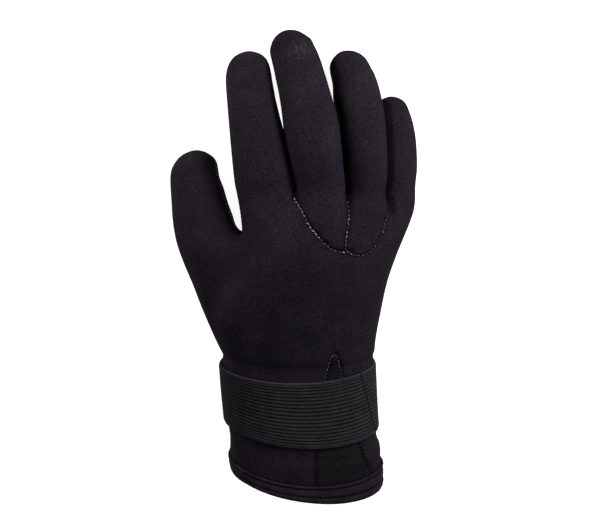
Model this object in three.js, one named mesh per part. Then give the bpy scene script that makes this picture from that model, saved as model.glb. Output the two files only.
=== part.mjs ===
// Neoprene glove for a right hand, lying palm down and keeping its worn form.
// Units are millimetres. +X points to the little finger, +Y to the fingertips, +Z up.
// The hand's surface is a smooth net through cross sections. The panels are cut from it
// along the seams and given their thickness, so each one is a closed shell of its own.
import * as THREE from 'three';

// Driving lengths along the hand
const CUFF_LENGTH = 77.7;
const PALM_LENGTH = 94;
const STRAP_WIDTH = 37.6;
const STRAP_FROM_WRIST = 7.2;
const HEM_WIDTH = 10.9;

// Driving widths and heights of the hand
const CUFF_WIDTH = 89;
const CUFF_HEIGHT = 55;
const WRIST_WIDTH = 86;
const WRIST_HEIGHT = 51;
const PALM_WIDTH = 100;
const KNUCKLE_HEIGHT = 58;

// Driving sizes of the fingers, from the fork to the tip
const INDEX_LENGTH = 79;
const INDEX_WIDTH = 30;
const INDEX_DEPTH = 26;
const MIDDLE_LENGTH = 86.6;
const MIDDLE_WIDTH = 30;
const MIDDLE_DEPTH = 26;
const RING_LENGTH = 81.3;
const RING_WIDTH = 26;
const RING_DEPTH = 24;
const LITTLE_LENGTH = 64.4;
const LITTLE_WIDTH = 24;
const LITTLE_DEPTH = 21;
const THUMB_LENGTH = 71;
const THUMB_WIDTH = 31;
const THUMB_DEPTH = 27;

// Thicknesses and clearances
const NEOPRENE = 3;
const BINDING = 0.8;
const BINDING_INSIDE = 0.7;
const STRAP_THICKNESS = 1.8;
const TAB_THICKNESS = 1.6;
const SEAM_GAP = 0.3;
const CLEARANCE = 0.3;
const FORK_DEPTH = 2.5;
const TAB_MARGIN = 2;

// The seams on the back of the hand
const U_SEAM_DEPTH = 33;
const GUSSET_LENGTH = 85;
const GUSSET_WIDTH = 34;
const GUSSET_FROM_WRIST = 6.2;

// How fine the net is: points round a finger, columns over the back of the hand, and the
// places of a rounded tip's rings as angles of a quarter turn
const AROUND_FINGER = 8;
const BACK_COLUMNS = 9;
const TIP_ANGLES = [30, 54, 75];

// How exactly the surface and the seams are worked out
const SMOOTHING_ROUNDS = 30;
const CROSSING_ROUNDS = 24;
const SNAP_SHARE = 0.12;
const SHARPEST_MITRE = 0.4;

// Shape of a cross section: how square its upper and lower halves are
const UPPER_SQUARENESS = 2.4;
const LOWER_SQUARENESS = 2.8;

// Which way the little finger's outer side faces, in degrees below level
const LITTLE_SIDE_ANGLE = 20;

// The cuff's sections: the hem's edge, its top, and the flare halfway to the strap.
// centre and width are shares of CUFF_WIDTH; base, waist and crest of CUFF_HEIGHT.
// skew moves the right side towards the hem, bow the top: shares of CUFF_LENGTH.
const CUFF_SECTIONS = [
  { centre: 0.045, width: 1.0, base: 0.006, waist: 0.51, crest: 0.99, skew: -0.072, bow: -0.077 },
  { centre: 0.036, width: 1.011, base: 0.006, waist: 0.51, crest: 0.98, skew: -0.037, bow: -0.098 },
  { centre: 0.0335, width: 1.003, base: 0.01, waist: 0.51, crest: 0.97, skew: -0.035, bow: -0.094 },
];
// The same for the strap's lower and upper edge and the wrist, of WRIST_WIDTH and WRIST_HEIGHT
const STRAP_SECTIONS = [
  { centre: 0.011, width: 1.021, base: 0.06, waist: 0.55, crest: 1.01, skew: -0.033, bow: -0.09 },
  { centre: -0.018, width: 1.018, base: 0.06, waist: 0.54, crest: 0.975, skew: 0.005, bow: -0.067 },
  { centre: -0.018, width: 1.032, base: -0.01, waist: 0.53, crest: 1.01, skew: 0, bow: 0 },
];

// The palm's sections, from the thumb's root to the knuckles, as shares of PALM_LENGTH,
// PALM_WIDTH and KNUCKLE_HEIGHT. fall lowers the little finger's side, spread draws the
// columns from even steps to the places of the fingers.
const PALM_SECTIONS = [
  {
    along: 0.19, centre: -0.036, width: 1.003, base: -0.017, waist: 0.43, crest: 0.93,
    fall: 0.02, skew: 0.006, spread: 0.2,
  },
  {
    along: 0.436, centre: 0.0065, width: 1.01, base: 0.09, waist: 0.47, crest: 0.99,
    fall: 0.1, skew: 0, spread: 0.55,
  },
  {
    along: 0.704, centre: 0.1255, width: 0.915, base: 0.22, waist: 0.51, crest: 1.03,
    fall: 0.22, skew: -0.056, spread: 0.9,
  },
];

// The fingers' sections. along and side are shares of the finger's length, rise of
// KNUCKLE_HEIGHT, width and depth of the finger's own. roll turns the section about its
// axis and turn swings it in plan, in degrees. The last row is where the rounded tip begins.
const INDEX_SECTIONS = [
  { along: 0.14, side: -0.029, rise: 0.56, width: 1.09, depth: 1.0, roll: -6, turn: 0 },
  { along: 0.36, side: -0.058, rise: 0.51, width: 1.055, depth: 1.0, roll: -8, turn: 0 },
  { along: 0.585, side: -0.1, rise: 0.41, width: 0.96, depth: 0.98, roll: -8, turn: 0 },
  { along: 0.745, side: -0.125, rise: 0.295, width: 0.9, depth: 0.96, roll: -8, turn: 0 },
  { along: 0.84, side: -0.134, rise: 0.215, width: 0.87, depth: 0.93, roll: -8, turn: 0 },
];
const MIDDLE_SECTIONS = [
  { along: 0.12, side: -0.014, rise: 0.64, width: 0.92, depth: 0.98, roll: 0, turn: 0 },
  { along: 0.273, side: -0.039, rise: 0.62, width: 1.0, depth: 1.0, roll: 0, turn: 0 },
  { along: 0.432, side: -0.069, rise: 0.575, width: 1.035, depth: 1.0, roll: 0, turn: 0 },
  { along: 0.618, side: -0.108, rise: 0.46, width: 0.955, depth: 0.98, roll: 0, turn: 0 },
  { along: 0.85, side: -0.171, rise: 0.225, width: 0.895, depth: 0.94, roll: 0, turn: 0 },
];
const RING_SECTIONS = [
  { along: 0.146, side: 0.005, rise: 0.575, width: 0.9, depth: 0.98, roll: 5, turn: 0 },
  { along: 0.372, side: -0.009, rise: 0.535, width: 0.985, depth: 1.0, roll: 10, turn: 0 },
  { along: 0.549, side: -0.025, rise: 0.46, width: 1.02, depth: 1.0, roll: 10, turn: 0 },
  { along: 0.72, side: -0.057, rise: 0.35, width: 1.02, depth: 0.98, roll: 8, turn: 0 },
  { along: 0.841, side: -0.084, rise: 0.225, width: 0.95, depth: 0.95, roll: 6, turn: 0 },
];
const LITTLE_SECTIONS = [
  { along: 0.185, side: 0.02, rise: 0.295, width: 0.98, depth: 0.97, roll: 34, turn: 0 },
  { along: 0.342, side: 0.0345, rise: 0.285, width: 1.0, depth: 1.0, roll: 30, turn: 0 },
  { along: 0.53, side: 0.0325, rise: 0.245, width: 1.0, depth: 1.0, roll: 28, turn: 0 },
  { along: 0.7, side: 0.0145, rise: 0.21, width: 0.97, depth: 0.98, roll: 26, turn: 0 },
  { along: 0.823, side: -0.016, rise: 0.182, width: 0.93, depth: 0.96, roll: 26, turn: 0 },
];
const THUMB_SECTIONS = [
  { along: 0.1725, side: -0.083, rise: 0.44, width: 1.39, depth: 1.28, roll: -4, turn: 31 },
  { along: 0.366, side: -0.158, rise: 0.39, width: 1.18, depth: 1.15, roll: -8, turn: 10 },
  { along: 0.549, side: -0.202, rise: 0.33, width: 1.08, depth: 1.06, roll: -14, turn: 0 },
  { along: 0.669, side: -0.224, rise: 0.28, width: 1.01, depth: 1.02, roll: -16, turn: 0 },
  { along: 0.796, side: -0.2465, rise: 0.225, width: 0.92, depth: 0.95, roll: -16, turn: 0 },
];

// The fingers from the index to the little finger, then the thumb. tipSide is a share of the
// finger's length, tipRise of KNUCKLE_HEIGHT. In root, fork is the share of PALM_LENGTH where
// the finger begins, rise the share of KNUCKLE_HEIGHT, width and depth shares of its own, and
// step the share of two half widths between it and the next.
const FINGERS = [
  {
    name: 'index', length: INDEX_LENGTH, width: INDEX_WIDTH, depth: INDEX_DEPTH,
    tipSide: -0.134, tipRise: 0.155,
    root: { fork: 0.985, rise: 0.57, width: 1.12, depth: 1.0, step: 1.0 }, sections: INDEX_SECTIONS,
  },
  {
    name: 'middle', length: MIDDLE_LENGTH, width: MIDDLE_WIDTH, depth: MIDDLE_DEPTH,
    tipSide: -0.238, tipRise: 0.155,
    root: { fork: 1.02, rise: 0.64, width: 0.91, depth: 1.0, step: 1.0 }, sections: MIDDLE_SECTIONS,
  },
  {
    name: 'ring', length: RING_LENGTH, width: RING_WIDTH, depth: RING_DEPTH,
    tipSide: -0.16, tipRise: 0.16,
    root: { fork: 0.96, rise: 0.6, width: 0.85, depth: 1.0, step: 0.73 }, sections: RING_SECTIONS,
  },
  {
    name: 'little', length: LITTLE_LENGTH, width: LITTLE_WIDTH, depth: LITTLE_DEPTH,
    tipSide: -0.046, tipRise: 0.15,
    root: { fork: 0.87, rise: 0.34, width: 1.02, depth: 1.0, step: 1.0 }, sections: LITTLE_SECTIONS,
  },
];
const THUMB = {
  name: 'thumb', length: THUMB_LENGTH, width: THUMB_WIDTH, depth: THUMB_DEPTH,
  tipSide: -0.2275, tipRise: 0.18,
  sections: THUMB_SECTIONS,
};

// Where the hand leans: the middle of the knuckles, beside the wrist's, as a share of PALM_LENGTH
const KNUCKLE_SHIFT = 0.162;

// The U seam seen from above: across is a share of the knuckles' width from the fork of
// index and middle to that of ring and little finger, depth a share of U_SEAM_DEPTH.
const U_SEAM = [
  { across: 0, depth: 0 },
  { across: 0.08, depth: 0.17 },
  { across: 0.16, depth: 0.41 },
  { across: 0.27, depth: 0.62 },
  { across: 0.4, depth: 0.82 },
  { across: 0.55, depth: 0.89 },
  { across: 0.66, depth: 0.965 },
  { across: 0.8, depth: 0.91 },
  { across: 0.91, depth: 0.71 },
  { across: 0.96, depth: 0.48 },
  { across: 1, depth: 0.25 },
];
// How far the centre seam between the two finger backs bends out, then in, as a share of
// the same width, and how much of the bend is lost towards its lower end
const CENTRE_SEAM_BOW = 0.022;
const CENTRE_SEAM_FADE = 0.6;

// The gusset: centre as a share of PALM_WIDTH, width of GUSSET_WIDTH, along of GUSSET_LENGTH
const GUSSET_SECTIONS = [
  { along: 0, centre: 0.199, width: 0 },
  { along: 0.06, centre: 0.197, width: 0.13 },
  { along: 0.2, centre: 0.195, width: 0.28 },
  { along: 0.7, centre: 0.223, width: 0.76 },
  { along: 1, centre: 0.274, width: 1.07 },
];

const DEGREE = Math.PI / 180;
const mix = (a, b, share) => a + (b - a) * share;

// A point of a cross section at share t of its half width, on its upper or lower half
function sectionPoint(section, t, upper) {
  const power = upper ? UPPER_SQUARENESS : LOWER_SQUARENESS;
  const bulge = (1 - Math.abs(t) ** power) ** (1 / power);
  const reach = upper ? section.crest - section.waist : section.base - section.waist;
  const fall = section.fall * ((t + 1) / 2) ** 2;
  return new THREE.Vector3(
    section.centre + t * section.halfWidth,
    section.along + section.skew * t + (upper ? section.bow * (1 - t * t) : 0),
    section.waist + reach * bulge - fall,
  );
}

// The hand's sections in millimetres, measured from the wrist
function handSections() {
  const strapTop = -STRAP_FROM_WRIST;
  const strapBottom = strapTop - STRAP_WIDTH;
  const hemTop = HEM_WIDTH - CUFF_LENGTH;
  const places = [-CUFF_LENGTH, hemTop, (hemTop + strapBottom) / 2, strapBottom, strapTop, 0];
  const cuff = [...CUFF_SECTIONS, ...STRAP_SECTIONS].map((row, index) => {
    const isCuff = index < CUFF_SECTIONS.length;
    const width = isCuff ? CUFF_WIDTH : WRIST_WIDTH;
    const height = isCuff ? CUFF_HEIGHT : WRIST_HEIGHT;
    return {
      along: places[index],
      centre: row.centre * width,
      halfWidth: row.width * width / 2,
      base: row.base * height,
      waist: row.waist * height,
      crest: row.crest * height,
      skew: row.skew * CUFF_LENGTH,
      bow: row.bow * CUFF_LENGTH,
      fall: 0,
      spread: 0,
    };
  });
  const palm = PALM_SECTIONS.map((row) => ({
    along: row.along * PALM_LENGTH,
    centre: row.centre * PALM_WIDTH,
    halfWidth: row.width * PALM_WIDTH / 2,
    base: row.base * KNUCKLE_HEIGHT,
    waist: row.waist * KNUCKLE_HEIGHT,
    crest: row.crest * KNUCKLE_HEIGHT,
    skew: row.skew * PALM_LENGTH,
    bow: 0,
    fall: row.fall * KNUCKLE_HEIGHT,
    spread: row.spread,
  }));
  return [...cuff, ...palm];
}

// The eight points of a finger's section, from its left side over the back and below
const SIDES = ['left', 'leftBack', 'back', 'rightBack', 'right', 'rightPalm', 'palm', 'leftPalm'];
const FACING = Object.fromEntries(SIDES.map((side, index) => [side, index]));
function fingerRing(centre, tangent, halfWidth, halfDepth, roll, turn) {
  const up = new THREE.Vector3(0, 0, 1);
  const across = new THREE.Vector3().crossVectors(tangent, up).normalize();
  across.applyAxisAngle(up, turn);
  const forward = new THREE.Vector3().crossVectors(up, across);
  forward.multiplyScalar(Math.hypot(tangent.x, tangent.y)).addScaledVector(up, tangent.z).normalize();
  across.applyAxisAngle(forward, roll);
  const rise = new THREE.Vector3().crossVectors(across, forward);
  return Array.from({ length: AROUND_FINGER }, (_, step) => {
    const angle = Math.PI - step * 2 * Math.PI / AROUND_FINGER;
    return centre.clone()
      .addScaledVector(across, halfWidth * Math.cos(angle))
      .addScaledVector(rise, halfDepth * Math.sin(angle));
  });
}

// Centres and half sizes of the four fingers' roots, side by side across the knuckles
function fingerRoots() {
  const halves = FINGERS.map((finger) => finger.root.width * finger.width / 2);
  let place = 0;
  const places = FINGERS.map((finger, index) => {
    if (index > 0) place += (halves[index - 1] + halves[index]) * FINGERS[index - 1].root.step;
    return place;
  });
  const last = FINGERS.length - 1;
  const middle = (places[0] - halves[0] + places[last] + halves[last]) / 2;
  return FINGERS.map((finger, index) => ({
    centre: new THREE.Vector3(
      KNUCKLE_SHIFT * PALM_LENGTH + places[index] - middle,
      finger.root.fork * PALM_LENGTH,
      finger.root.rise * KNUCKLE_HEIGHT,
    ),
    halfWidth: halves[index],
    halfDepth: finger.root.depth * finger.depth / 2,
  }));
}

// The net of control faces: named points, and quads that know which part they belong to
class Net {
  constructor() {
    this.points = [];
    this.quads = [];
  }

  add(point) {
    this.points.push(point);
    return this.points.length - 1;
  }

  quad(corners, tag) {
    this.quads.push({ corners, tag });
  }
}

// Joins two rings of equal length by a band of quads; tagOf says which part a step belongs to
function joinRings(net, near, far, tagOf) {
  near.forEach((point, step) => {
    const next = (step + 1) % near.length;
    net.quad([near[step], near[next], far[next], far[step]], tagOf(step));
  });
}

// A finger from its root ring to its rounded tip
function addFinger(net, finger, rootRing, root) {
  const half = AROUND_FINGER / 2;
  const tagOf = (step) => ({ part: finger.name, back: step < half });
  const tip = new THREE.Vector3(
    root.x + finger.tipSide * finger.length,
    root.y + finger.length,
    finger.tipRise * KNUCKLE_HEIGHT,
  );
  const centres = finger.sections.map((row) => new THREE.Vector3(
    root.x + row.side * finger.length,
    root.y + row.along * finger.length,
    row.rise * KNUCKLE_HEIGHT,
  ));
  let ring = rootRing;
  finger.sections.forEach((row, index) => {
    const before = index === 0 ? root : centres[index - 1];
    const after = index === centres.length - 1 ? tip : centres[index + 1];
    const tangent = new THREE.Vector3().subVectors(after, before).normalize();
    const points = fingerRing(
      centres[index], tangent, row.width * finger.width / 2, row.depth * finger.depth / 2,
      row.roll * DEGREE, row.turn * DEGREE,
    );
    const next = points.map((point) => net.add(point));
    joinRings(net, ring, next, tagOf);
    ring = next;
  });
  addTip(net, ring, centres.at(-1), tip, tagOf);
}

// The rounded end of a finger: rings that close in on the tip, then four quads
function addTip(net, baseRing, centre, tip, tagOf) {
  const reach = new THREE.Vector3().subVectors(tip, centre);
  const base = baseRing.map((index) => net.points[index].clone());
  let ring = baseRing;
  for (const angle of TIP_ANGLES) {
    const next = base.map((point) => net.add(
      new THREE.Vector3().subVectors(point, centre).multiplyScalar(Math.cos(angle * DEGREE))
        .add(centre).addScaledVector(reach, Math.sin(angle * DEGREE)),
    ));
    joinRings(net, ring, next, tagOf);
    ring = next;
  }
  const end = net.add(tip.clone());
  for (let step = 0; step < AROUND_FINGER; step += 2) {
    const following = (step + 2) % AROUND_FINGER;
    net.quad([end, ring[step], ring[step + 1], ring[following]], tagOf(step));
  }
}

// The columns of a cross section: left side, nine over the back, right side, nine below.
// Even steps at the wrist are drawn towards the fingers' places at the knuckles.
const LEFT_SIDE = 0;
const RIGHT_SIDE = BACK_COLUMNS + 1;
const AROUND_HAND = 2 * RIGHT_SIDE;
const backColumn = (column) => column + 1;
const palmColumn = (column) => AROUND_HAND - 1 - column;

// Shares of the half width where the nine columns lie at the knuckles
function knuckleShares(roots) {
  const left = roots[0].centre.x - roots[0].halfWidth;
  const right = roots.at(-1).centre.x + roots.at(-1).halfWidth;
  const share = (x) => (2 * x - left - right) / (right - left);
  const diagonal = Math.cos(Math.PI / 4);
  const shares = [share(roots[0].centre.x - diagonal * roots[0].halfWidth)];
  roots.forEach((root, index) => {
    shares.push(share(root.centre.x));
    const next = roots[index + 1];
    shares.push(next ? share((root.centre.x + root.halfWidth + next.centre.x - next.halfWidth) / 2)
      : share(root.centre.x + diagonal * root.halfWidth));
  });
  return shares;
}

function addHandRings(net, roots) {
  const atKnuckles = knuckleShares(roots);
  return handSections().map((section, row) => {
    const ring = Array.from({ length: AROUND_HAND });
    const isInsideThumb = row === THUMB_ROW + 1;
    if (!isInsideThumb) ring[LEFT_SIDE] = net.add(sectionPoint(section, -1, true));
    ring[RIGHT_SIDE] = net.add(sectionPoint(section, 1, true));
    for (let column = 0; column < BACK_COLUMNS; column += 1) {
      const even = -Math.cos(Math.PI * (column + 1) / (BACK_COLUMNS + 1));
      const t = mix(even, atKnuckles[column], section.spread);
      ring[backColumn(column)] = net.add(sectionPoint(section, t, true));
      ring[palmColumn(column)] = net.add(sectionPoint(section, t, false));
    }
    return ring;
  });
}

// A finger's root: its left points face the neighbour on the left, its right points the
// one on the right, with the back and the palm halfway between.
function rootRing(root, toLeft, toRight) {
  const step = 2 * Math.PI / AROUND_FINGER;
  const back = (toLeft + toRight) / 2;
  const angles = [
    toLeft, toLeft - step, back, toRight + step,
    toRight, toRight - step, back - Math.PI, toLeft + step,
  ];
  return angles.map((angle) => root.centre.clone().add(new THREE.Vector3(
    root.halfWidth * Math.cos(angle),
    0,
    root.halfDepth * Math.sin(angle),
  )));
}

// The knuckle ring, where the fingers part. Neighbours share three points at each fork.
function addKnuckles(net, roots) {
  const bearings = roots.slice(1).map((root, index) => {
    const from = roots[index].centre;
    return Math.atan2(root.centre.z - from.z, root.centre.x - from.x);
  });
  const own = roots.map((root, index) => {
    const toLeft = index === 0 ? Math.PI : Math.PI + bearings[index - 1];
    const toRight = bearings[index] ?? -LITTLE_SIDE_ANGLE * DEGREE;
    return rootRing(root, toLeft, toRight).map((point) => net.add(point));
  });
  for (let index = 0; index + 1 < own.length; index += 1) {
    const pairs = [
      [FACING.rightBack, FACING.leftBack, 0],
      [FACING.right, FACING.left, FORK_DEPTH],
      [FACING.rightPalm, FACING.leftPalm, 0],
    ];
    for (const [mine, theirs, depth] of pairs) {
      const shared = net.points[own[index][mine]];
      shared.add(net.points[own[index + 1][theirs]]).multiplyScalar(0.5);
      shared.y += depth;
      own[index + 1][theirs] = own[index][mine];
    }
  }
  const ring = Array.from({ length: AROUND_HAND });
  ring[LEFT_SIDE] = own[0][FACING.left];
  ring[RIGHT_SIDE] = own.at(-1)[FACING.right];
  own.forEach((points, index) => {
    const column = 2 * index;
    ring[backColumn(column)] = points[FACING.leftBack];
    ring[backColumn(column + 1)] = points[FACING.back];
    ring[backColumn(column + 2)] = points[FACING.rightBack];
    ring[palmColumn(column)] = points[FACING.leftPalm];
    ring[palmColumn(column + 1)] = points[FACING.palm];
    ring[palmColumn(column + 2)] = points[FACING.rightPalm];
  });
  return { ring, own };
}

// Rows of the hand's net that matter to the pieces
const HEM_ROWS = 1;
const STRAP_ROW = 3;
const THUMB_ROW = 6;
const THUMB_COLUMNS = [AROUND_HAND - 1, LEFT_SIDE, backColumn(0)];
const TAB_COLUMNS = [palmColumn(6), palmColumn(2)];

function handTag(row, step) {
  const isThumbHole = (row === THUMB_ROW || row === THUMB_ROW + 1)
    && (step === AROUND_HAND - 1 || step === LEFT_SIDE);
  return isThumbHole ? null : { part: 'hand', back: step < RIGHT_SIDE, row, step };
}

// The whole glove's net: hand, four fingers and the thumb on the left side
function gloveNet() {
  const net = new Net();
  const roots = fingerRoots();
  const rings = addHandRings(net, roots);
  const knuckles = addKnuckles(net, roots);
  rings.push(knuckles.ring);
  for (let row = 0; row + 1 < rings.length; row += 1) {
    for (let step = 0; step < AROUND_HAND; step += 1) {
      const next = (step + 1) % AROUND_HAND;
      const tag = handTag(row, step);
      if (!tag) continue;
      net.quad([rings[row][step], rings[row][next], rings[row + 1][next], rings[row + 1][step]], tag);
    }
  }
  FINGERS.forEach((finger, index) => addFinger(net, finger, knuckles.own[index], roots[index].centre));
  const [below, side, above] = THUMB_COLUMNS;
  const [first, second, third] = [rings[THUMB_ROW], rings[THUMB_ROW + 1], rings[THUMB_ROW + 2]];
  const thumbRing = [first[side], first[above], second[above], third[above],
    third[side], third[below], second[below], first[below]];
  const thumbRoot = new THREE.Vector3()
    .addVectors(net.points[first[side]], net.points[third[side]]).multiplyScalar(0.5);
  addFinger(net, THUMB, thumbRing, thumbRoot);
  return { net, forks: knuckles.own.slice(0, -1).map((ring) => ring[FACING.rightBack]) };
}

// Who each point's neighbours are: along edges, across quads, and along an open rim
function neighbours(count, quads) {
  const table = Array.from({ length: count }, () => ({ edges: new Map(), corners: [] }));
  for (const { corners } of quads) {
    corners.forEach((point, index) => {
      const entry = table[point];
      for (const other of [corners[(index + 1) % 4], corners[(index + 3) % 4]]) {
        entry.edges.set(other, (entry.edges.get(other) ?? 0) + 1);
      }
      entry.corners.push(corners[(index + 2) % 4]);
    });
  }
  return table.map(({ edges, corners }) => ({
    edges: [...edges.keys()],
    corners,
    rim: [...edges].filter(([, uses]) => uses === 1).map(([other]) => other),
  }));
}

function weighted(points, terms) {
  const sum = new THREE.Vector3();
  for (const [index, weight] of terms) sum.addScaledVector(points[index], weight);
  return sum;
}

// Where the smooth surface passes for each control point
function limitPoints(points, table) {
  return table.map(({ edges, corners, rim }, index) => {
    if (rim.length > 0) {
      return weighted(points, [[index, 4 / 6], ...rim.map((other) => [other, 1 / 6])]);
    }
    const n = edges.length;
    const scale = 1 / (n * (n + 5));
    return weighted(points, [
      [index, n * n * scale],
      ...edges.map((other) => [other, 4 * scale]),
      ...corners.map((other) => [other, scale]),
    ]);
  });
}

// Moves the control points until the smooth surface passes through the given ones
function fitThrough(net) {
  const table = neighbours(net.points.length, net.quads);
  const targets = net.points.map((point) => point.clone());
  let control = net.points.map((point) => point.clone());
  for (let round = 0; round < SMOOTHING_ROUNDS; round += 1) {
    const reached = limitPoints(control, table);
    control = control.map((point, index) => point.clone().add(targets[index]).sub(reached[index]));
  }
  return control;
}

// One step of Catmull-Clark subdivision
function subdivide(points, quads) {
  const table = neighbours(points.length, quads);
  const refined = points.map(() => null);
  const facePoints = quads.map(({ corners }) => {
    refined.push(weighted(points, corners.map((index) => [index, 1 / 4])));
    return refined.length - 1;
  });
  const edges = new Map();
  quads.forEach(({ corners }, face) => {
    corners.forEach((point, index) => {
      const other = corners[(index + 1) % 4];
      const key = `${Math.min(point, other)},${Math.max(point, other)}`;
      const edge = edges.get(key) ?? { ends: [point, other], faces: [] };
      edge.faces.push(facePoints[face]);
      edges.set(key, edge);
    });
  });
  for (const edge of edges.values()) {
    const middle = weighted(points, edge.ends.map((index) => [index, 1 / 2]));
    if (edge.faces.length === 2) {
      middle.multiplyScalar(0.5);
      for (const face of edge.faces) middle.addScaledVector(refined[face], 1 / 4);
    }
    refined.push(middle);
    edge.point = refined.length - 1;
  }
  table.forEach(({ edges: around, corners, rim }, index) => {
    if (rim.length > 0) {
      refined[index] = weighted(points, [[index, 6 / 8], ...rim.map((other) => [other, 1 / 8])]);
      return;
    }
    const n = around.length;
    refined[index] = weighted(points, [
      [index, (n * n - 7 * n / 4) / (n * n)],
      ...around.map((other) => [other, 6 / (4 * n * n)]),
      ...corners.map((other) => [other, 1 / (4 * n * n)]),
    ]);
  });
  const finer = quads.flatMap(({ corners, tag }, face) => corners.map((point, index) => {
    const edgeAt = (a, b) => edges.get(`${Math.min(a, b)},${Math.max(a, b)}`).point;
    const after = edgeAt(point, corners[(index + 1) % 4]);
    const before = edgeAt(corners[(index + 3) % 4], point);
    return { corners: [point, after, facePoints[face], before], tag };
  }));
  return { points: refined, quads: finer };
}

// The glove's outer surface as triangles that know their part
function outerSurface() {
  const { net, forks } = gloveNet();
  const fine = subdivide(fitThrough(net), net.quads);
  const points = limitPoints(fine.points, neighbours(fine.points.length, fine.quads));
  const triangles = fine.quads.flatMap(({ corners: [a, b, c, d], tag }) => [
    { corners: [a, b, c], tag },
    { corners: [a, c, d], tag },
  ]);
  restOnSurface(points, triangles);
  return { points, triangles, forks: forks.map((index) => points[index]) };
}

// Flattens what touches the table: the strap and its tab, the hem, and bare neoprene
function restOnSurface(points, triangles) {
  const floor = points.map(() => 0);
  for (const { corners, tag } of triangles) {
    const rest = tag.part !== 'hand' ? 0 : floorUnder(tag.row);
    for (const index of corners) floor[index] = Math.max(floor[index], rest);
  }
  points.forEach((point, index) => {
    point.z = Math.max(point.z, floor[index]);
  });
}

function floorUnder(row) {
  if (row === STRAP_ROW) return CLEARANCE + STRAP_THICKNESS + CLEARANCE + TAB_THICKNESS;
  return row < HEM_ROWS ? CLEARANCE + BINDING : 0;
}

// Outward direction at each point, averaged over the triangles around it
function pointNormals(points, triangles) {
  const normals = points.map(() => new THREE.Vector3());
  for (const { corners: [a, b, c] } of triangles) {
    const normal = new THREE.Vector3().crossVectors(
      new THREE.Vector3().subVectors(points[b], points[a]),
      new THREE.Vector3().subVectors(points[c], points[a]),
    );
    for (const index of [a, b, c]) normals[index].add(normal);
  }
  return normals.map((normal) => normal.normalize());
}

// Value of a curve through table rows at x, smooth between them
function curveThrough(rows, x) {
  const last = rows.length - 1;
  if (x <= rows[0][0]) return rows[0][1];
  if (x >= rows[last][0]) return rows[last][1];
  const index = rows.findIndex(([place]) => place > x) - 1;
  const slope = (at) => {
    const before = rows[Math.max(at - 1, 0)];
    const after = rows[Math.min(at + 1, last)];
    return (after[1] - before[1]) / (after[0] - before[0]);
  };
  const [x0, y0] = rows[index];
  const [x1, y1] = rows[index + 1];
  const s = (x - x0) / (x1 - x0);
  const span = x1 - x0;
  return (1 + 2 * s) * (1 - s) ** 2 * y0 + s * (1 - s) ** 2 * span * slope(index)
    + s * s * (3 - 2 * s) * y1 + s * s * (s - 1) * span * slope(index + 1);
}

// Which side of a seam a point of the back lies on, seen from above
function seamFunctions(forks) {
  const [left, middle, right] = forks;
  const across = right.x - left.x;
  const uRows = U_SEAM.map((row) => [left.x + row.across * across, left.y - row.depth * U_SEAM_DEPTH]);
  uRows.at(-1)[1] = right.y;
  const centreRows = GUSSET_SECTIONS.map((row) => [row.along, row.centre * PALM_WIDTH]);
  const widthRows = GUSSET_SECTIONS.map((row) => [row.along, row.width * GUSSET_WIDTH / 2]);
  return {
    insideU: (point) => {
      if (point === left || point === right) return 0;
      if (point.x <= left.x || point.x >= right.x) return -1;
      return point.y - curveThrough(uRows, point.x);
    },
    rightOfCentre: (point) => {
      const s = THREE.MathUtils.clamp((middle.y - point.y) / U_SEAM_DEPTH, 0, 1);
      const bend = CENTRE_SEAM_BOW * across * Math.sin(2 * Math.PI * s) * (1 - CENTRE_SEAM_FADE * s);
      return point.x - middle.x - bend;
    },
    insideGusset: (point) => {
      const s = (GUSSET_FROM_WRIST - point.y) / GUSSET_LENGTH;
      if (s <= 0) return -1;
      return curveThrough(widthRows, s) - Math.abs(point.x - curveThrough(centreRows, s));
    },
  };
}

// Share of the way from a to b where a seam is crossed
function crossing(a, b, side) {
  const point = new THREE.Vector3();
  const sign = Math.sign(side(a));
  let near = 0;
  let far = 1;
  for (let round = 0; round < CROSSING_ROUNDS; round += 1) {
    const half = (near + far) / 2;
    if (Math.sign(side(point.lerpVectors(a, b, half))) === sign) near = half;
    else far = half;
  }
  return (near + far) / 2;
}

// Moves corners close to a seam onto it, so that no thin triangle is left, but never two
// neighbours, so that the seam stays one clean line. value holds each corner's side.
function snapToSeam(points, triangles, value, side) {
  const beside = new Map([...value.keys()].map((index) => [index, new Set()]));
  for (const { corners } of triangles) {
    for (const a of corners) for (const b of corners) if (a !== b) beside.get(a).add(b);
  }
  for (const [a, others] of beside) {
    for (const b of others) {
      if (value.get(a) * value.get(b) >= 0) continue;
      const share = crossing(points[a], points[b], side);
      const isFree = [...others].every((other) => value.get(other) !== 0);
      if (share > SNAP_SHARE || !isFree) continue;
      points[a] = new THREE.Vector3().lerpVectors(points[a], points[b], share);
      value.set(a, 0);
    }
  }
}

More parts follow.
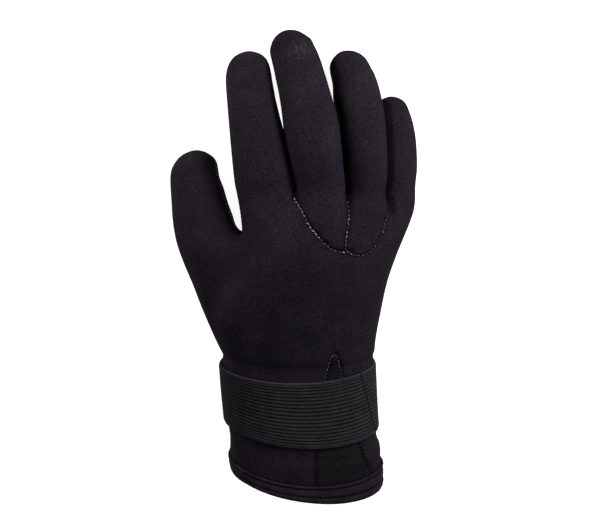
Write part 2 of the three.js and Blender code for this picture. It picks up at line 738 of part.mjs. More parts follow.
// Cuts one panel's triangles along a seam: those inside it go to another panel
function cutPanel(surface, from, into, side) {
  const { points } = surface;
  const chosen = surface.triangles.filter(({ panel, tag }) => panel === from && tag.part === 'hand');
  const value = new Map();
  for (const { corners } of chosen) for (const index of corners) value.set(index, side(points[index]));
  snapToSeam(points, chosen, value, side);
  const cuts = new Map();
  const cutBetween = (a, b) => {
    const key = `${Math.min(a, b)},${Math.max(a, b)}`;
    if (!cuts.has(key)) {
      const exact = crossing(points[a], points[b], side);
      const share = THREE.MathUtils.clamp(exact, SNAP_SHARE, 1 - SNAP_SHARE);
      points.push(new THREE.Vector3().lerpVectors(points[a], points[b], share));
      value.set(points.length - 1, 0);
      cuts.set(key, points.length - 1);
    }
    return cuts.get(key);
  };
  const pieces = chosen.flatMap((triangle) => splitTriangle(triangle.corners, value, cutBetween)
    .map(({ corners, inside }) => ({ corners, tag: triangle.tag, panel: inside ? into : from })));
  const gone = new Set(chosen);
  surface.triangles = [...surface.triangles.filter((triangle) => !gone.has(triangle)), ...pieces];
  handOverStrays(surface, into, from);
  handOverStrays(surface, from, into);
}

// Triangles that hang on to their panel by a corner only go to the panel across the seam
function handOverStrays(surface, panel, other) {
  const own = surface.triangles.filter((triangle) => triangle.panel === panel);
  const home = new Map(own.map((triangle) => [triangle, triangle]));
  const rootOf = (triangle) => {
    let root = triangle;
    while (home.get(root) !== root) root = home.get(root);
    home.set(triangle, root);
    return root;
  };
  const edges = new Map();
  for (const triangle of own) {
    triangle.corners.forEach((a, index) => {
      const b = triangle.corners[(index + 1) % 3];
      const key = `${Math.min(a, b)},${Math.max(a, b)}`;
      if (edges.has(key)) home.set(rootOf(triangle), rootOf(edges.get(key)));
      edges.set(key, triangle);
    });
  }
  const groups = Map.groupBy(own, rootOf);
  const largest = Math.max(...[...groups.values()].map((members) => members.length));
  for (const members of groups.values()) {
    if (members.length < largest) for (const triangle of members) triangle.panel = other;
  }
}

// A triangle split where the seam's value changes sign along its edges
function splitTriangle(corners, value, cutBetween) {
  const loops = { true: [], false: [] };
  corners.forEach((a, index) => {
    const b = corners[(index + 1) % 3];
    const [at, next] = [value.get(a), value.get(b)];
    if (at >= 0) loops.true.push(a);
    if (at <= 0) loops.false.push(a);
    if (at * next < 0) {
      const cut = cutBetween(a, b);
      loops.true.push(cut);
      loops.false.push(cut);
    }
  });
  return [true, false].flatMap((inside) => {
    const loop = loops[inside];
    if (loop.length < 3) return [];
    return loop.slice(2).map((last, index) => ({ corners: [loop[0], loop[index + 1], last], inside }));
  });
}

// Sorts the surface into panels: fingers and palm by their place in the net, inserts by seams
function cutPanels(surface) {
  const fingerPanels = { middle: 'middle_finger_back', ring: 'ring_finger_back' };
  for (const triangle of surface.triangles) {
    const { tag } = triangle;
    triangle.panel = tag.back ? fingerPanels[tag.part] ?? 'back_panel' : 'palm_panel';
  }
  const seams = seamFunctions(surface.forks);
  cutPanel(surface, 'back_panel', 'middle_finger_back', seams.insideU);
  cutPanel(surface, 'middle_finger_back', 'ring_finger_back', seams.rightOfCentre);
  cutPanel(surface, 'back_panel', 'cuff_gusset', seams.insideGusset);
}

// Edges along the border of a patch, each with the patch on its left
function borderEdges(triangles) {
  const edges = new Map();
  for (const { corners } of triangles) {
    corners.forEach((a, index) => {
      const b = corners[(index + 1) % 3];
      if (edges.has(`${b},${a}`)) edges.delete(`${b},${a}`);
      else edges.set(`${a},${b}`, [a, b]);
    });
  }
  return [...edges.values()];
}

// For each border point, the way into the patch, of length 1 across the border
function inwardSteps(surface, edges) {
  const { points, normals } = surface;
  const sides = new Map();
  for (const [a, b] of edges) {
    const along = new THREE.Vector3().subVectors(points[b], points[a]);
    for (const index of [a, b]) {
      const inward = new THREE.Vector3().crossVectors(normals[index], along).normalize();
      sides.set(index, [...sides.get(index) ?? [], inward]);
    }
  }
  return new Map([...sides].map(([index, [first, second = first]]) => {
    const scale = 1 / Math.max(1 + first.dot(second), SHARPEST_MITRE);
    return [index, new THREE.Vector3().addVectors(first, second).multiplyScalar(scale)];
  }));
}

// Collects the faces of one closed piece out of offset copies of the surface's points
class Piece {
  constructor(surface) {
    this.surface = surface;
    this.positions = [];
    this.indices = [];
    this.layers = new Map();
  }

  // The copy of a point raised by offset along its normal and moved by a step
  point(index, layer) {
    const key = `${index},${layer.name}`;
    if (!this.layers.has(key)) {
      const step = layer.steps?.get(index);
      const place = this.surface.points[index].clone()
        .addScaledVector(this.surface.normals[index], layer.offset);
      if (step) place.addScaledVector(step, layer.inward);
      this.layers.set(key, this.positions.length / 3);
      this.positions.push(place.x, place.y, place.z);
    }
    return this.layers.get(key);
  }

  skin(triangles, layer, facesOut) {
    for (const { corners } of triangles) {
      const order = facesOut ? corners : [...corners].reverse();
      this.indices.push(...order.map((index) => this.point(index, layer)));
    }
  }

  // A wall below a border, through the given layers from the upper to the lower. Both
  // pieces at a seam split its twisted faces the same way, so that they don't cross.
  wall(edges, layers) {
    layers.slice(1).forEach((lower, index) => {
      const upper = layers[index];
      for (const [a, b] of edges) {
        const [upperA, upperB] = [this.point(a, upper), this.point(b, upper)];
        const [lowerA, lowerB] = [this.point(a, lower), this.point(b, lower)];
        if (a < b) this.indices.push(upperA, lowerA, lowerB, upperA, lowerB, upperB);
        else this.indices.push(upperA, lowerA, upperB, upperB, lowerA, lowerB);
      }
    });
  }

  geometry() {
    const geometry = new THREE.BufferGeometry();
    geometry.setAttribute('position', new THREE.Float32BufferAttribute(this.positions, 3));
    geometry.setIndex(this.indices);
    geometry.computeVertexNormals();
    return geometry;
  }
}

// A sheet between two offsets from the surface, its border drawn in by inward
function sheet(surface, triangles, upper, lower, inward) {
  const edges = borderEdges(triangles);
  const steps = inwardSteps(surface, edges);
  const piece = new Piece(surface);
  const top = { name: 'top', offset: upper, steps, inward };
  const bottom = { name: 'bottom', offset: lower, steps, inward };
  piece.skin(triangles, top, true);
  piece.skin(triangles, bottom, false);
  piece.wall(edges, [top, bottom]);
  return piece.geometry();
}

// The binding: one skin outside the neoprene, a thinner one inside, joined by a fold round
// the neoprene's edge
function binding(surface, triangles, isRim) {
  const edges = borderEdges(triangles);
  const rim = edges.filter(isRim);
  const top = edges.filter((edge) => !isRim(edge));
  const steps = inwardSteps(surface, rim);
  const layer = (name, offset, beyond = 0) => ({ name, offset, steps, inward: -beyond });
  const reach = CLEARANCE + BINDING;
  const outside = layer('outside', reach);
  const outsideBack = layer('outside back', CLEARANCE);
  const insideBack = layer('inside back', -NEOPRENE - CLEARANCE);
  const inside = layer('inside', -NEOPRENE - CLEARANCE - BINDING_INSIDE);
  const piece = new Piece(surface);
  piece.skin(triangles, outside, true);
  piece.skin(triangles, outsideBack, false);
  piece.skin(triangles, insideBack, true);
  piece.skin(triangles, inside, false);
  piece.wall(top, [outside, outsideBack]);
  piece.wall(top, [insideBack, inside]);
  piece.wall(rim, [
    outside,
    layer('fold 1', reach / 2, reach),
    layer('fold 2', -NEOPRENE - reach / 2, reach),
    inside,
  ]);
  piece.wall(rim, [
    insideBack,
    layer('lap 1', -NEOPRENE - CLEARANCE, CLEARANCE),
    layer('lap 2', CLEARANCE, CLEARANCE),
    outsideBack,
  ]);
  return piece.geometry();
}

// Materials of the pieces
const neoprene = () => new THREE.MeshStandardMaterial({ color: 0x231e25, roughness: 0.85, metalness: 0 });
const stretch = () => new THREE.MeshStandardMaterial({ color: 0x1e201f, roughness: 0.9, metalness: 0 });
const bindingCloth = () => new THREE.MeshStandardMaterial({ color: 0x29232b, roughness: 0.8, metalness: 0 });
const elastic = () => new THREE.MeshStandardMaterial({ color: 0x242426, roughness: 0.8, metalness: 0 });

function named(name, geometry, material) {
  const mesh = new THREE.Mesh(geometry, material);
  mesh.name = name;
  return mesh;
}

// The whole glove, standing on the table with its middle over the origin
function glove() {
  const surface = outerSurface();
  const whole = surface.triangles;
  surface.normals = pointNormals(surface.points, whole);
  const strapFaces = whole.filter(({ tag }) => tag.part === 'hand' && tag.row === STRAP_ROW);
  const [tabStart, tabEnd] = TAB_COLUMNS;
  const tabFaces = strapFaces.filter(({ tag }) => tag.step >= tabStart && tag.step < tabEnd);
  const hemFaces = whole.filter(({ tag }) => tag.part === 'hand' && tag.row < HEM_ROWS);
  const openEdges = new Set(borderEdges(whole).map((edge) => edge.join()));
  const strapOuter = CLEARANCE + STRAP_THICKNESS;
  const tabInner = strapOuter + CLEARANCE;
  const pieces = [
    named('wrist_strap', sheet(surface, strapFaces, strapOuter, CLEARANCE, 0), elastic()),
    named('strap_tab', sheet(surface, tabFaces, tabInner + TAB_THICKNESS, tabInner, TAB_MARGIN), elastic()),
    named('hem_band', binding(surface, hemFaces, (edge) => openEdges.has(edge.join())), bindingCloth()),
  ];
  cutPanels(surface);
  surface.normals = pointNormals(surface.points, surface.triangles);
  const panels = ['back_panel', 'palm_panel', 'middle_finger_back', 'ring_finger_back', 'cuff_gusset'];
  for (const name of panels) {
    const faces = surface.triangles.filter((triangle) => triangle.panel === name);
    const material = name === 'cuff_gusset' ? stretch() : neoprene();
    pieces.push(named(name, sheet(surface, faces, 0, -NEOPRENE, SEAM_GAP / 2), material));
  }
  return pieces;
}

const group = new THREE.Group();
group.add(...glove());
const bounds = new THREE.Box3().setFromObject(group);
const middle = bounds.getCenter(new THREE.Vector3());
group.position.set(-middle.x, -middle.y, -bounds.min.z);
group.updateMatrixWorld(true);

export default group;
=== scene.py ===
"""Neoprene glove for a right hand, lying palm down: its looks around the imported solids.

The hand's surface is the same smooth net as the solids', in millimetres from the wrist line,
divided finer. Panels are cut from it along the seams, rounded into them, given their
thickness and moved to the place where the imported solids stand.
"""

import math

import bpy
import numpy as np
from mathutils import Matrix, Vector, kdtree, noise


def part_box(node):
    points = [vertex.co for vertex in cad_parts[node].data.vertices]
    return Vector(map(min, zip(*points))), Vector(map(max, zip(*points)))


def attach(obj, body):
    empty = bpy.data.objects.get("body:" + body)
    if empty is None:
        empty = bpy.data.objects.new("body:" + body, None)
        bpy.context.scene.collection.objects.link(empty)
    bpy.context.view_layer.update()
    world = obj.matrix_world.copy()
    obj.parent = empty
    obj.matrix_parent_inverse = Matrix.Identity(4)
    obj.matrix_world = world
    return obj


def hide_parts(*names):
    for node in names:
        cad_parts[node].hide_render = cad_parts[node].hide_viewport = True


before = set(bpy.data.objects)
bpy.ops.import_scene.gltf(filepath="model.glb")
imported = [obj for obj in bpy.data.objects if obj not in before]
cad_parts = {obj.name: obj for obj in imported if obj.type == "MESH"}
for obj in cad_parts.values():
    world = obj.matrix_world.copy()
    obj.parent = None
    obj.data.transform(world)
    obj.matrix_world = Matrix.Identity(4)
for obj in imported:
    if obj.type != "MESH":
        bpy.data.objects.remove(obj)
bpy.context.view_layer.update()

MM = 0.001

# Lengths along the hand, in mm
CUFF_LENGTH = 77.7
PALM_LENGTH = 94
STRAP_WIDTH = 37.6
STRAP_FROM_WRIST = 7.2
HEM_WIDTH = 10.9

# Widths and heights of the hand, in mm
CUFF_WIDTH = 89
CUFF_HEIGHT = 55
WRIST_WIDTH = 86
WRIST_HEIGHT = 51
PALM_WIDTH = 100
KNUCKLE_HEIGHT = 58

# Thicknesses and clearances, in mm
NEOPRENE = 3
BINDING = 0.8
STRAP_THICKNESS = 1.8
TAB_THICKNESS = 1.6
CLEARANCE = 0.3
SEAM_GAP = 0.02
FORK_DEPTH = 2.5

# The seams on the back of the hand, in mm
U_SEAM_DEPTH = 33
GUSSET_LENGTH = 85
GUSSET_WIDTH = 34
GUSSET_FROM_WRIST = 6.2

# The net: points round a finger, columns over the back, rings of a rounded tip in degrees
AROUND_FINGER = 8
BACK_COLUMNS = 9
TIP_ANGLES = (30, 54, 75)
LEFT_SIDE = 0
RIGHT_SIDE = BACK_COLUMNS + 1
AROUND_HAND = 2 * RIGHT_SIDE
STRAP_ROW = 3
THUMB_ROW = 6
FINE_LEVEL = 3
SMOOTHING_ROUNDS = 30
CROSSING_ROUNDS = 20
SNAP_SHARE = 0.14
UPPER_SQUARENESS = 2.4
LOWER_SQUARENESS = 2.8
LITTLE_SIDE_ANGLE = 20

# The cuff's sections: the hem's edge, its top, and the flare halfway to the strap
CUFF_KEYS = ("centre", "width", "base", "waist", "crest", "skew", "bow")
CUFF_SECTIONS = (
    (0.045, 1.0, 0.006, 0.51, 0.99, -0.072, -0.077),
    (0.036, 1.011, 0.006, 0.51, 0.98, -0.037, -0.098),
    (0.0335, 1.003, 0.01, 0.51, 0.97, -0.035, -0.094),
)
# The same for the strap's lower and upper edge and the wrist
STRAP_SECTIONS = (
    (0.011, 1.021, 0.06, 0.55, 1.01, -0.033, -0.09),
    (-0.018, 1.018, 0.06, 0.54, 0.975, 0.005, -0.067),
    (-0.018, 1.032, -0.01, 0.53, 1.01, 0, 0),
)
# The palm's sections, from the thumb's root to the knuckles
PALM_KEYS = ("along", "centre", "width", "base", "waist", "crest", "fall", "skew", "spread")
PALM_SECTIONS = (
    (0.19, -0.036, 1.003, -0.017, 0.43, 0.93, 0.02, 0.006, 0.2),
    (0.436, 0.0065, 1.01, 0.09, 0.47, 0.99, 0.1, 0, 0.55),
    (0.704, 0.1255, 0.915, 0.22, 0.51, 1.03, 0.22, -0.056, 0.9),
)

# The fingers' sections: along and side are shares of the length, rise of KNUCKLE_HEIGHT,
# width and depth of the finger's own, roll and turn in degrees, where no turn is none
FINGER_KEYS = ("along", "side", "rise", "width", "depth", "roll", "turn")
FINGERS = (
    {
        "name": "index", "length": 79, "width": 30, "depth": 26, "tip_side": -0.134, "tip_rise": 0.155,
        "root": {"fork": 0.985, "rise": 0.57, "width": 1.12, "step": 1.0},
        "sections": (
            (0.14, -0.029, 0.56, 1.09, 1.0, -6),
            (0.36, -0.058, 0.51, 1.055, 1.0, -8),
            (0.585, -0.1, 0.41, 0.96, 0.98, -8),
            (0.745, -0.125, 0.295, 0.9, 0.96, -8),
            (0.84, -0.134, 0.215, 0.87, 0.93, -8),
        ),
    },
    {
        "name": "middle", "length": 86.6, "width": 30, "depth": 26, "tip_side": -0.238, "tip_rise": 0.155,
        "root": {"fork": 1.02, "rise": 0.64, "width": 0.91, "step": 1.0},
        "sections": (
            (0.12, -0.014, 0.64, 0.92, 0.98, 0),
            (0.273, -0.039, 0.62, 1.0, 1.0, 0),
            (0.432, -0.069, 0.575, 1.035, 1.0, 0),
            (0.618, -0.108, 0.46, 0.955, 0.98, 0),
            (0.85, -0.171, 0.225, 0.895, 0.94, 0),
        ),
    },
    {
        "name": "ring", "length": 81.3, "width": 26, "depth": 24, "tip_side": -0.16, "tip_rise": 0.16,
        "root": {"fork": 0.96, "rise": 0.6, "width": 0.85, "step": 0.73},
        "sections": (
            (0.146, 0.005, 0.575, 0.9, 0.98, 5),
            (0.372, -0.009, 0.535, 0.985, 1.0, 10),
            (0.549, -0.025, 0.46, 1.02, 1.0, 10),
            (0.72, -0.057, 0.35, 1.02, 0.98, 8),
            (0.841, -0.084, 0.225, 0.95, 0.95, 6),
        ),
    },
    {
        "name": "little", "length": 64.4, "width": 24, "depth": 21, "tip_side": -0.046, "tip_rise": 0.15,
        "root": {"fork": 0.87, "rise": 0.34, "width": 1.02, "step": 1.0},
        "sections": (
            (0.185, 0.02, 0.295, 0.98, 0.97, 34),
            (0.342, 0.0345, 0.285, 1.0, 1.0, 30),
            (0.53, 0.0325, 0.245, 1.0, 1.0, 28),
            (0.7, 0.0145, 0.21, 0.97, 0.98, 26),
            (0.823, -0.016, 0.182, 0.93, 0.96, 26),
        ),
    },
)
THUMB = {
    "name": "thumb", "length": 71, "width": 31, "depth": 27, "tip_side": -0.2275, "tip_rise": 0.18,
    "sections": (
        (0.1725, -0.083, 0.44, 1.39, 1.28, -4, 31),
        (0.366, -0.158, 0.39, 1.18, 1.15, -8, 10),
        (0.549, -0.202, 0.33, 1.08, 1.06, -14, 0),
        (0.669, -0.224, 0.28, 1.01, 1.02, -16, 0),
        (0.796, -0.2465, 0.225, 0.92, 0.95, -16, 0),
    ),
}
KNUCKLE_SHIFT = 0.162

# The U seam (across, depth), and the gusset's centre line and width (along, centre, width)
U_SEAM = (
    (0, 0), (0.08, 0.17), (0.16, 0.41), (0.27, 0.62), (0.4, 0.82), (0.55, 0.89),
    (0.66, 0.965), (0.8, 0.91), (0.91, 0.71), (0.96, 0.48), (1, 0.25),
)
CENTRE_SEAM_BOW = 0.022
CENTRE_SEAM_FADE = 0.6
GUSSET_SECTIONS = (
    (0, 0.199, 0), (0.06, 0.197, 0.13), (0.2, 0.195, 0.28), (0.7, 0.223, 0.76), (1, 0.274, 1.07),
)

# What makes a seam: how deep and wide the panels round into it, in mm
GROOVE_DEPTH = 0.75
GROOVE_WIDTH = 0.95
PUCKER_DEPTH = 0.12
PUCKER_PITCH = 5.2
PUCKER_REACH = 3.5
# The painted shade along the seams reaches this far, in mm
SEAM_SHADE_WIDTH = 1.0

PARTS = ("hand", "index", "middle", "ring", "little", "thumb")
PANELS = ("back_panel", "palm_panel", "middle_finger_back", "ring_finger_back", "cuff_gusset")


def vec(*values):
    return np.array(values, float)


def unit(v):
    return v / np.maximum(np.linalg.norm(v, axis=-1, keepdims=True), 1e-12)


def mix(a, b, share):
    return a + (b - a) * share


def smooth_step(low, high, value):
    s = np.clip((value - low) / (high - low), 0, 1)
    return s * s * (3 - 2 * s)


# The control net

def section_point(section, t, upper):
    power = UPPER_SQUARENESS if upper else LOWER_SQUARENESS
    bulge = (1 - abs(t) ** power) ** (1 / power)
    reach = (section["crest"] if upper else section["base"]) - section["waist"]
    return vec(
        section["centre"] + t * section["half_width"],
        section["along"] + section["skew"] * t + (section["bow"] * (1 - t * t) if upper else 0),
        section["waist"] + reach * bulge - section["fall"] * ((t + 1) / 2) ** 2,
    )


def hand_sections():
    """The hand's sections in mm, from the hem's edge to the knuckles."""
    strap_top = -STRAP_FROM_WRIST
    strap_bottom = strap_top - STRAP_WIDTH
    hem_top = HEM_WIDTH - CUFF_LENGTH
    places = (-CUFF_LENGTH, hem_top, (hem_top + strap_bottom) / 2, strap_bottom, strap_top, 0)
    sections = []
    for keys, table, width, height, length in (
        (CUFF_KEYS, CUFF_SECTIONS, CUFF_WIDTH, CUFF_HEIGHT, CUFF_LENGTH),
        (CUFF_KEYS, STRAP_SECTIONS, WRIST_WIDTH, WRIST_HEIGHT, CUFF_LENGTH),
        (PALM_KEYS, PALM_SECTIONS, PALM_WIDTH, KNUCKLE_HEIGHT, PALM_LENGTH),
    ):
        for values in table:
            row = dict(zip(keys, values))
            section = {"centre": row["centre"] * width, "half_width": row["width"] * width / 2}
            section.update((key, row.get(key, 0) * height) for key in ("base", "waist", "crest", "fall"))
            section.update((key, row.get(key, 0) * length) for key in ("skew", "bow", "along"))
            section["spread"] = row.get("spread", 0)
            if "along" not in row:
                section["along"] = places[len(sections)]
            sections.append(section)
    return sections


def turned(v, axis, angle):
    """v turned about a unit axis by an angle in radians."""
    c, s = math.cos(angle), math.sin(angle)
    return v * c + np.cross(axis, v) * s + axis * axis.dot(v) * (1 - c)


def finger_ring(centre, tangent, half_width, half_depth, roll, turn):
    up = vec(0, 0, 1)
    across = turned(unit(np.cross(tangent, up)), up, turn)
    forward = np.cross(up, across) * math.hypot(tangent[0], tangent[1]) + up * tangent[2]
    forward = unit(forward)
    across = turned(across, forward, roll)
    rise = np.cross(across, forward)
    angles = [math.pi - step * 2 * math.pi / AROUND_FINGER for step in range(AROUND_FINGER)]
    return [centre + across * half_width * math.cos(a) + rise * half_depth * math.sin(a) for a in angles]


def finger_roots():
    halves = [finger["root"]["width"] * finger["width"] / 2 for finger in FINGERS]
    places = [0.0]
    for index in range(1, len(FINGERS)):
        step = (halves[index - 1] + halves[index]) * FINGERS[index - 1]["root"]["step"]
        places.append(places[-1] + step)
    middle = (places[0] - halves[0] + places[-1] + halves[-1]) / 2
    roots = []
    for finger, half, place in zip(FINGERS, halves, places):
        root = finger["root"]
        roots.append({
            "centre": vec(
                KNUCKLE_SHIFT * PALM_LENGTH + place - middle,
                root["fork"] * PALM_LENGTH,
                root["rise"] * KNUCKLE_HEIGHT,
            ),
            "half_width": half,
            "half_depth": finger["depth"] / 2,
        })
    return roots


class Net:
    """Control points, and quads that know their part, their side and their place in it."""

    def __init__(self):
        self.points = []
        self.quads = []
        self.tags = []

    def add(self, point):
        self.points.append(np.array(point, float))
        return len(self.points) - 1

    def quad(self, corners, part, back, row, step):
        self.quads.append(corners)
        self.tags.append((PARTS.index(part), int(back), row, step))


def join_rings(net, near, far, part, row):
    for step, point in enumerate(near):
        following = (step + 1) % len(near)
        corners = (point, near[following], far[following], far[step])
        net.quad(corners, part, step < len(near) // 2, row, step)


def add_finger(net, finger, ring, root):
    rows = [dict(zip(FINGER_KEYS, values)) for values in finger["sections"]]
    length = finger["length"]
    tip = vec(
        root[0] + finger["tip_side"] * length, root[1] + length, finger["tip_rise"] * KNUCKLE_HEIGHT,
    )
    centres = [
        vec(root[0] + row["side"] * length, root[1] + row["along"] * length, row["rise"] * KNUCKLE_HEIGHT)
        for row in rows
    ]
    path = [root] + centres + [tip]
    for index, row in enumerate(rows):
        points = finger_ring(
            centres[index], unit(path[index + 2] - path[index]),
            row["width"] * finger["width"] / 2, row["depth"] * finger["depth"] / 2,
            math.radians(row["roll"]), math.radians(row.get("turn", 0)),
        )
        following = [net.add(point) for point in points]
        join_rings(net, ring, following, finger["name"], index)
        ring = following
    base = [net.points[index].copy() for index in ring]
    reach = tip - centres[-1]
    for number, degrees in enumerate(TIP_ANGLES):
        angle = math.radians(degrees)
        following = [
            net.add((point - centres[-1]) * math.cos(angle) + centres[-1] + reach * math.sin(angle))
            for point in base
        ]
        join_rings(net, ring, following, finger["name"], len(rows) + number)
        ring = following
    end = net.add(tip)
    for step in range(0, AROUND_FINGER, 2):
        corners = (end, ring[step], ring[step + 1], ring[(step + 2) % AROUND_FINGER])
        row = len(rows) + len(TIP_ANGLES)
        net.quad(corners, finger["name"], step < AROUND_FINGER // 2, row, step)


def back_column(column):
    return column + 1


def palm_column(column):
    return AROUND_HAND - 1 - column


def knuckle_shares(roots):
    left = roots[0]["centre"][0] - roots[0]["half_width"]
    right = roots[-1]["centre"][0] + roots[-1]["half_width"]
    diagonal = math.cos(math.pi / 4)

    def share(x):
        return (2 * x - left - right) / (right - left)

    shares = [share(roots[0]["centre"][0] - diagonal * roots[0]["half_width"])]
    for index, root in enumerate(roots):
        shares.append(share(root["centre"][0]))
        if index + 1 < len(roots):
            other = roots[index + 1]
            edges = root["centre"][0] + root["half_width"] + other["centre"][0] - other["half_width"]
            shares.append(share(edges / 2))
        else:
            shares.append(share(root["centre"][0] + diagonal * root["half_width"]))
    return shares


def add_hand_rings(net, roots):
    at_knuckles = knuckle_shares(roots)
    rings = []
    for row, section in enumerate(hand_sections()):
        ring = [None] * AROUND_HAND
        if row != THUMB_ROW + 1:
            ring[LEFT_SIDE] = net.add(section_point(section, -1, True))
        ring[RIGHT_SIDE] = net.add(section_point(section, 1, True))
        for column in range(BACK_COLUMNS):
            even = -math.cos(math.pi * (column + 1) / (BACK_COLUMNS + 1))
            t = mix(even, at_knuckles[column], section["spread"])
            ring[back_column(column)] = net.add(section_point(section, t, True))
            ring[palm_column(column)] = net.add(section_point(section, t, False))
        rings.append(ring)
    return rings


def root_ring(root, to_left, to_right):
    step = 2 * math.pi / AROUND_FINGER
    back = (to_left + to_right) / 2
    angles = (
        to_left, to_left - step, back, to_right + step,
        to_right, to_right - step, back - math.pi, to_left + step,
    )
    return [
        root["centre"] + vec(root["half_width"] * math.cos(a), 0, root["half_depth"] * math.sin(a))
        for a in angles
    ]


def add_knuckles(net, roots):
    """The ring where the fingers part. Neighbours share three points at each fork."""
    bearings = []
    for here, there in zip(roots, roots[1:]):
        between = there["centre"] - here["centre"]
        bearings.append(math.atan2(between[2], between[0]))
    own = []
    for index, root in enumerate(roots):
        to_left = math.pi if index == 0 else math.pi + bearings[index - 1]
        to_right = bearings[index] if index < len(bearings) else -math.radians(LITTLE_SIDE_ANGLE)
        points = root_ring(root, to_left, to_right)
        shared = {}
        if own:
            for theirs, mine, depth in ((3, 1, 0), (4, 0, FORK_DEPTH), (5, 7, 0)):
                fork = own[-1][theirs]
                net.points[fork] = (net.points[fork] + points[mine]) / 2 + vec(0, depth, 0)
                shared[mine] = fork
        own.append([
            shared[place] if place in shared else net.add(point) for place, point in enumerate(points)
        ])
    ring = [None] * AROUND_HAND
    ring[LEFT_SIDE] = own[0][0]
    ring[RIGHT_SIDE] = own[-1][4]
    for index, points in enumerate(own):
        for offset in range(3):
            ring[back_column(2 * index + offset)] = points[1 + offset]
            ring[palm_column(2 * index + offset)] = points[7 - offset]
    return ring, own


def glove_net():
    net = Net()
    roots = finger_roots()
    rings = add_hand_rings(net, roots)
    ring, own = add_knuckles(net, roots)
    rings.append(ring)
    for row in range(len(rings) - 1):
        for step in range(AROUND_HAND):
            if row in (THUMB_ROW, THUMB_ROW + 1) and step in (AROUND_HAND - 1, LEFT_SIDE):
                continue
            following = (step + 1) % AROUND_HAND
            near, far = rings[row], rings[row + 1]
            corners = (near[step], near[following], far[following], far[step])
            net.quad(corners, "hand", step < RIGHT_SIDE, row, step)
    for finger, points, root in zip(FINGERS, own, roots):
        add_finger(net, finger, points, root["centre"])
    below, side, above = AROUND_HAND - 1, LEFT_SIDE, back_column(0)
    first, second, third = rings[THUMB_ROW:THUMB_ROW + 3]
    thumb_ring = [first[side], first[above], second[above], third[above],
                  third[side], third[below], second[below], first[below]]
    root = (net.points[first[side]] + net.points[third[side]]) / 2
    add_finger(net, THUMB, thumb_ring, root)
    forks = [points[3] for points in own[:-1]]
    return net, forks


def limit_weights(net):
    """The matrix that takes control points to where the smooth surface passes."""
    count = len(net.points)
    edges = [{} for _ in range(count)]
    corners = [[] for _ in range(count)]
    for quad in net.quads:
        for index, point in enumerate(quad):
            for other in (quad[(index + 1) % 4], quad[(index + 3) % 4]):
                edges[point][other] = edges[point].get(other, 0) + 1
            corners[point].append(quad[(index + 2) % 4])
    weights = np.zeros((count, count))
    for point in range(count):
        rim = [other for other, uses in edges[point].items() if uses == 1]
        if rim:
            weights[point, point] = 4 / 6
            for other in rim:
                weights[point, other] = 1 / 6
            continue
        n = len(edges[point])
        scale = 1 / (n * (n + 5))
        weights[point, point] = n * n * scale
        for other in edges[point]:
            weights[point, other] += 4 * scale
        for other in corners[point]:
            weights[point, other] += scale
    return weights


# The fine surface

class Surface:
    """The fine points and quads, each quad with its part, its side and its place in the net."""


def read(data, name, columns, kind):
    """A property of all the data as an array."""
    values = np.empty(len(data) * columns, kind)
    data.foreach_get(name, values)
    return values.reshape(-1, columns)
def fine_surface():
    net, forks = glove_net()
    weights = limit_weights(net)
    targets = np.array(net.points)
    control = targets.copy()
    for _ in range(SMOOTHING_ROUNDS):
        control += targets - weights @ control
    mesh = bpy.data.meshes.new("net")
    mesh.from_pydata([tuple(point) for point in control], [], net.quads)
    for column, name in enumerate(("part", "back")):
        layer = mesh.attributes.new(name, "INT", "FACE")
        layer.data.foreach_set("value", [tag[column] for tag in net.tags])
    uv = mesh.uv_layers.new(name="place")
    for face, (_, _, row, step) in zip(mesh.polygons, net.tags):
        for loop, (u, v) in zip(face.loop_indices, ((0, 0), (1, 0), (1, 1), (0, 1))):
            uv.data[loop].uv = (step + u, row + v)
    source = bpy.data.objects.new("net", mesh)
    bpy.context.collection.objects.link(source)
    modifier = source.modifiers.new("fine", "SUBSURF")
    modifier.levels = FINE_LEVEL
    modifier.render_levels = FINE_LEVEL
    modifier.uv_smooth = "NONE"
    modifier.use_limit_surface = True
    graph = bpy.context.evaluated_depsgraph_get()
    fine = bpy.data.meshes.new_from_object(source.evaluated_get(graph))
    bpy.data.objects.remove(source)

    surface = Surface()
    surface.points = read(fine.vertices, "co", 3, np.float32).astype(float)
    surface.quads = read(fine.polygons, "vertices", 4, np.int32)
    for name in ("part", "back"):
        setattr(surface, name, read(fine.attributes[name].data, "value", 1, np.int32).ravel())
    surface.places = read(fine.uv_layers["place"].data, "uv", 2, np.float32).reshape(-1, 4, 2)
    surface.forks = [weights[index] @ control for index in forks]
    bpy.data.meshes.remove(fine)
    rest_on_table(surface)
    return surface


def rest_on_table(surface):
    """Presses flat what meets the table: the strap and its tab, the hem, and bare neoprene."""
    under_strap = CLEARANCE + STRAP_THICKNESS + CLEARANCE + TAB_THICKNESS
    under_hem = CLEARANCE + BINDING
    is_hand = surface.part == PARTS.index("hand")
    floor = np.zeros(len(surface.points))
    rows = surface.places[:, :, 1]
    strap = under_strap * smooth_step(2.6, 3, rows) * (1 - smooth_step(4, 4.6, rows))
    hem = under_hem * (1 - smooth_step(1, 1.4, rows))
    rest = np.maximum(strap, hem) * is_hand[:, None]
    np.maximum.at(floor, surface.quads.ravel(), rest.ravel())
    surface.points[:, 2] = np.maximum(surface.points[:, 2], floor)


def point_normals(points, triangles):
    normals = np.zeros_like(points)
    a, b, c = (points[triangles[:, index]] for index in range(3))
    faces = np.cross(b - a, c - a)
    for index in range(3):
        np.add.at(normals, triangles[:, index], faces)
    return unit(normals)


# Seams

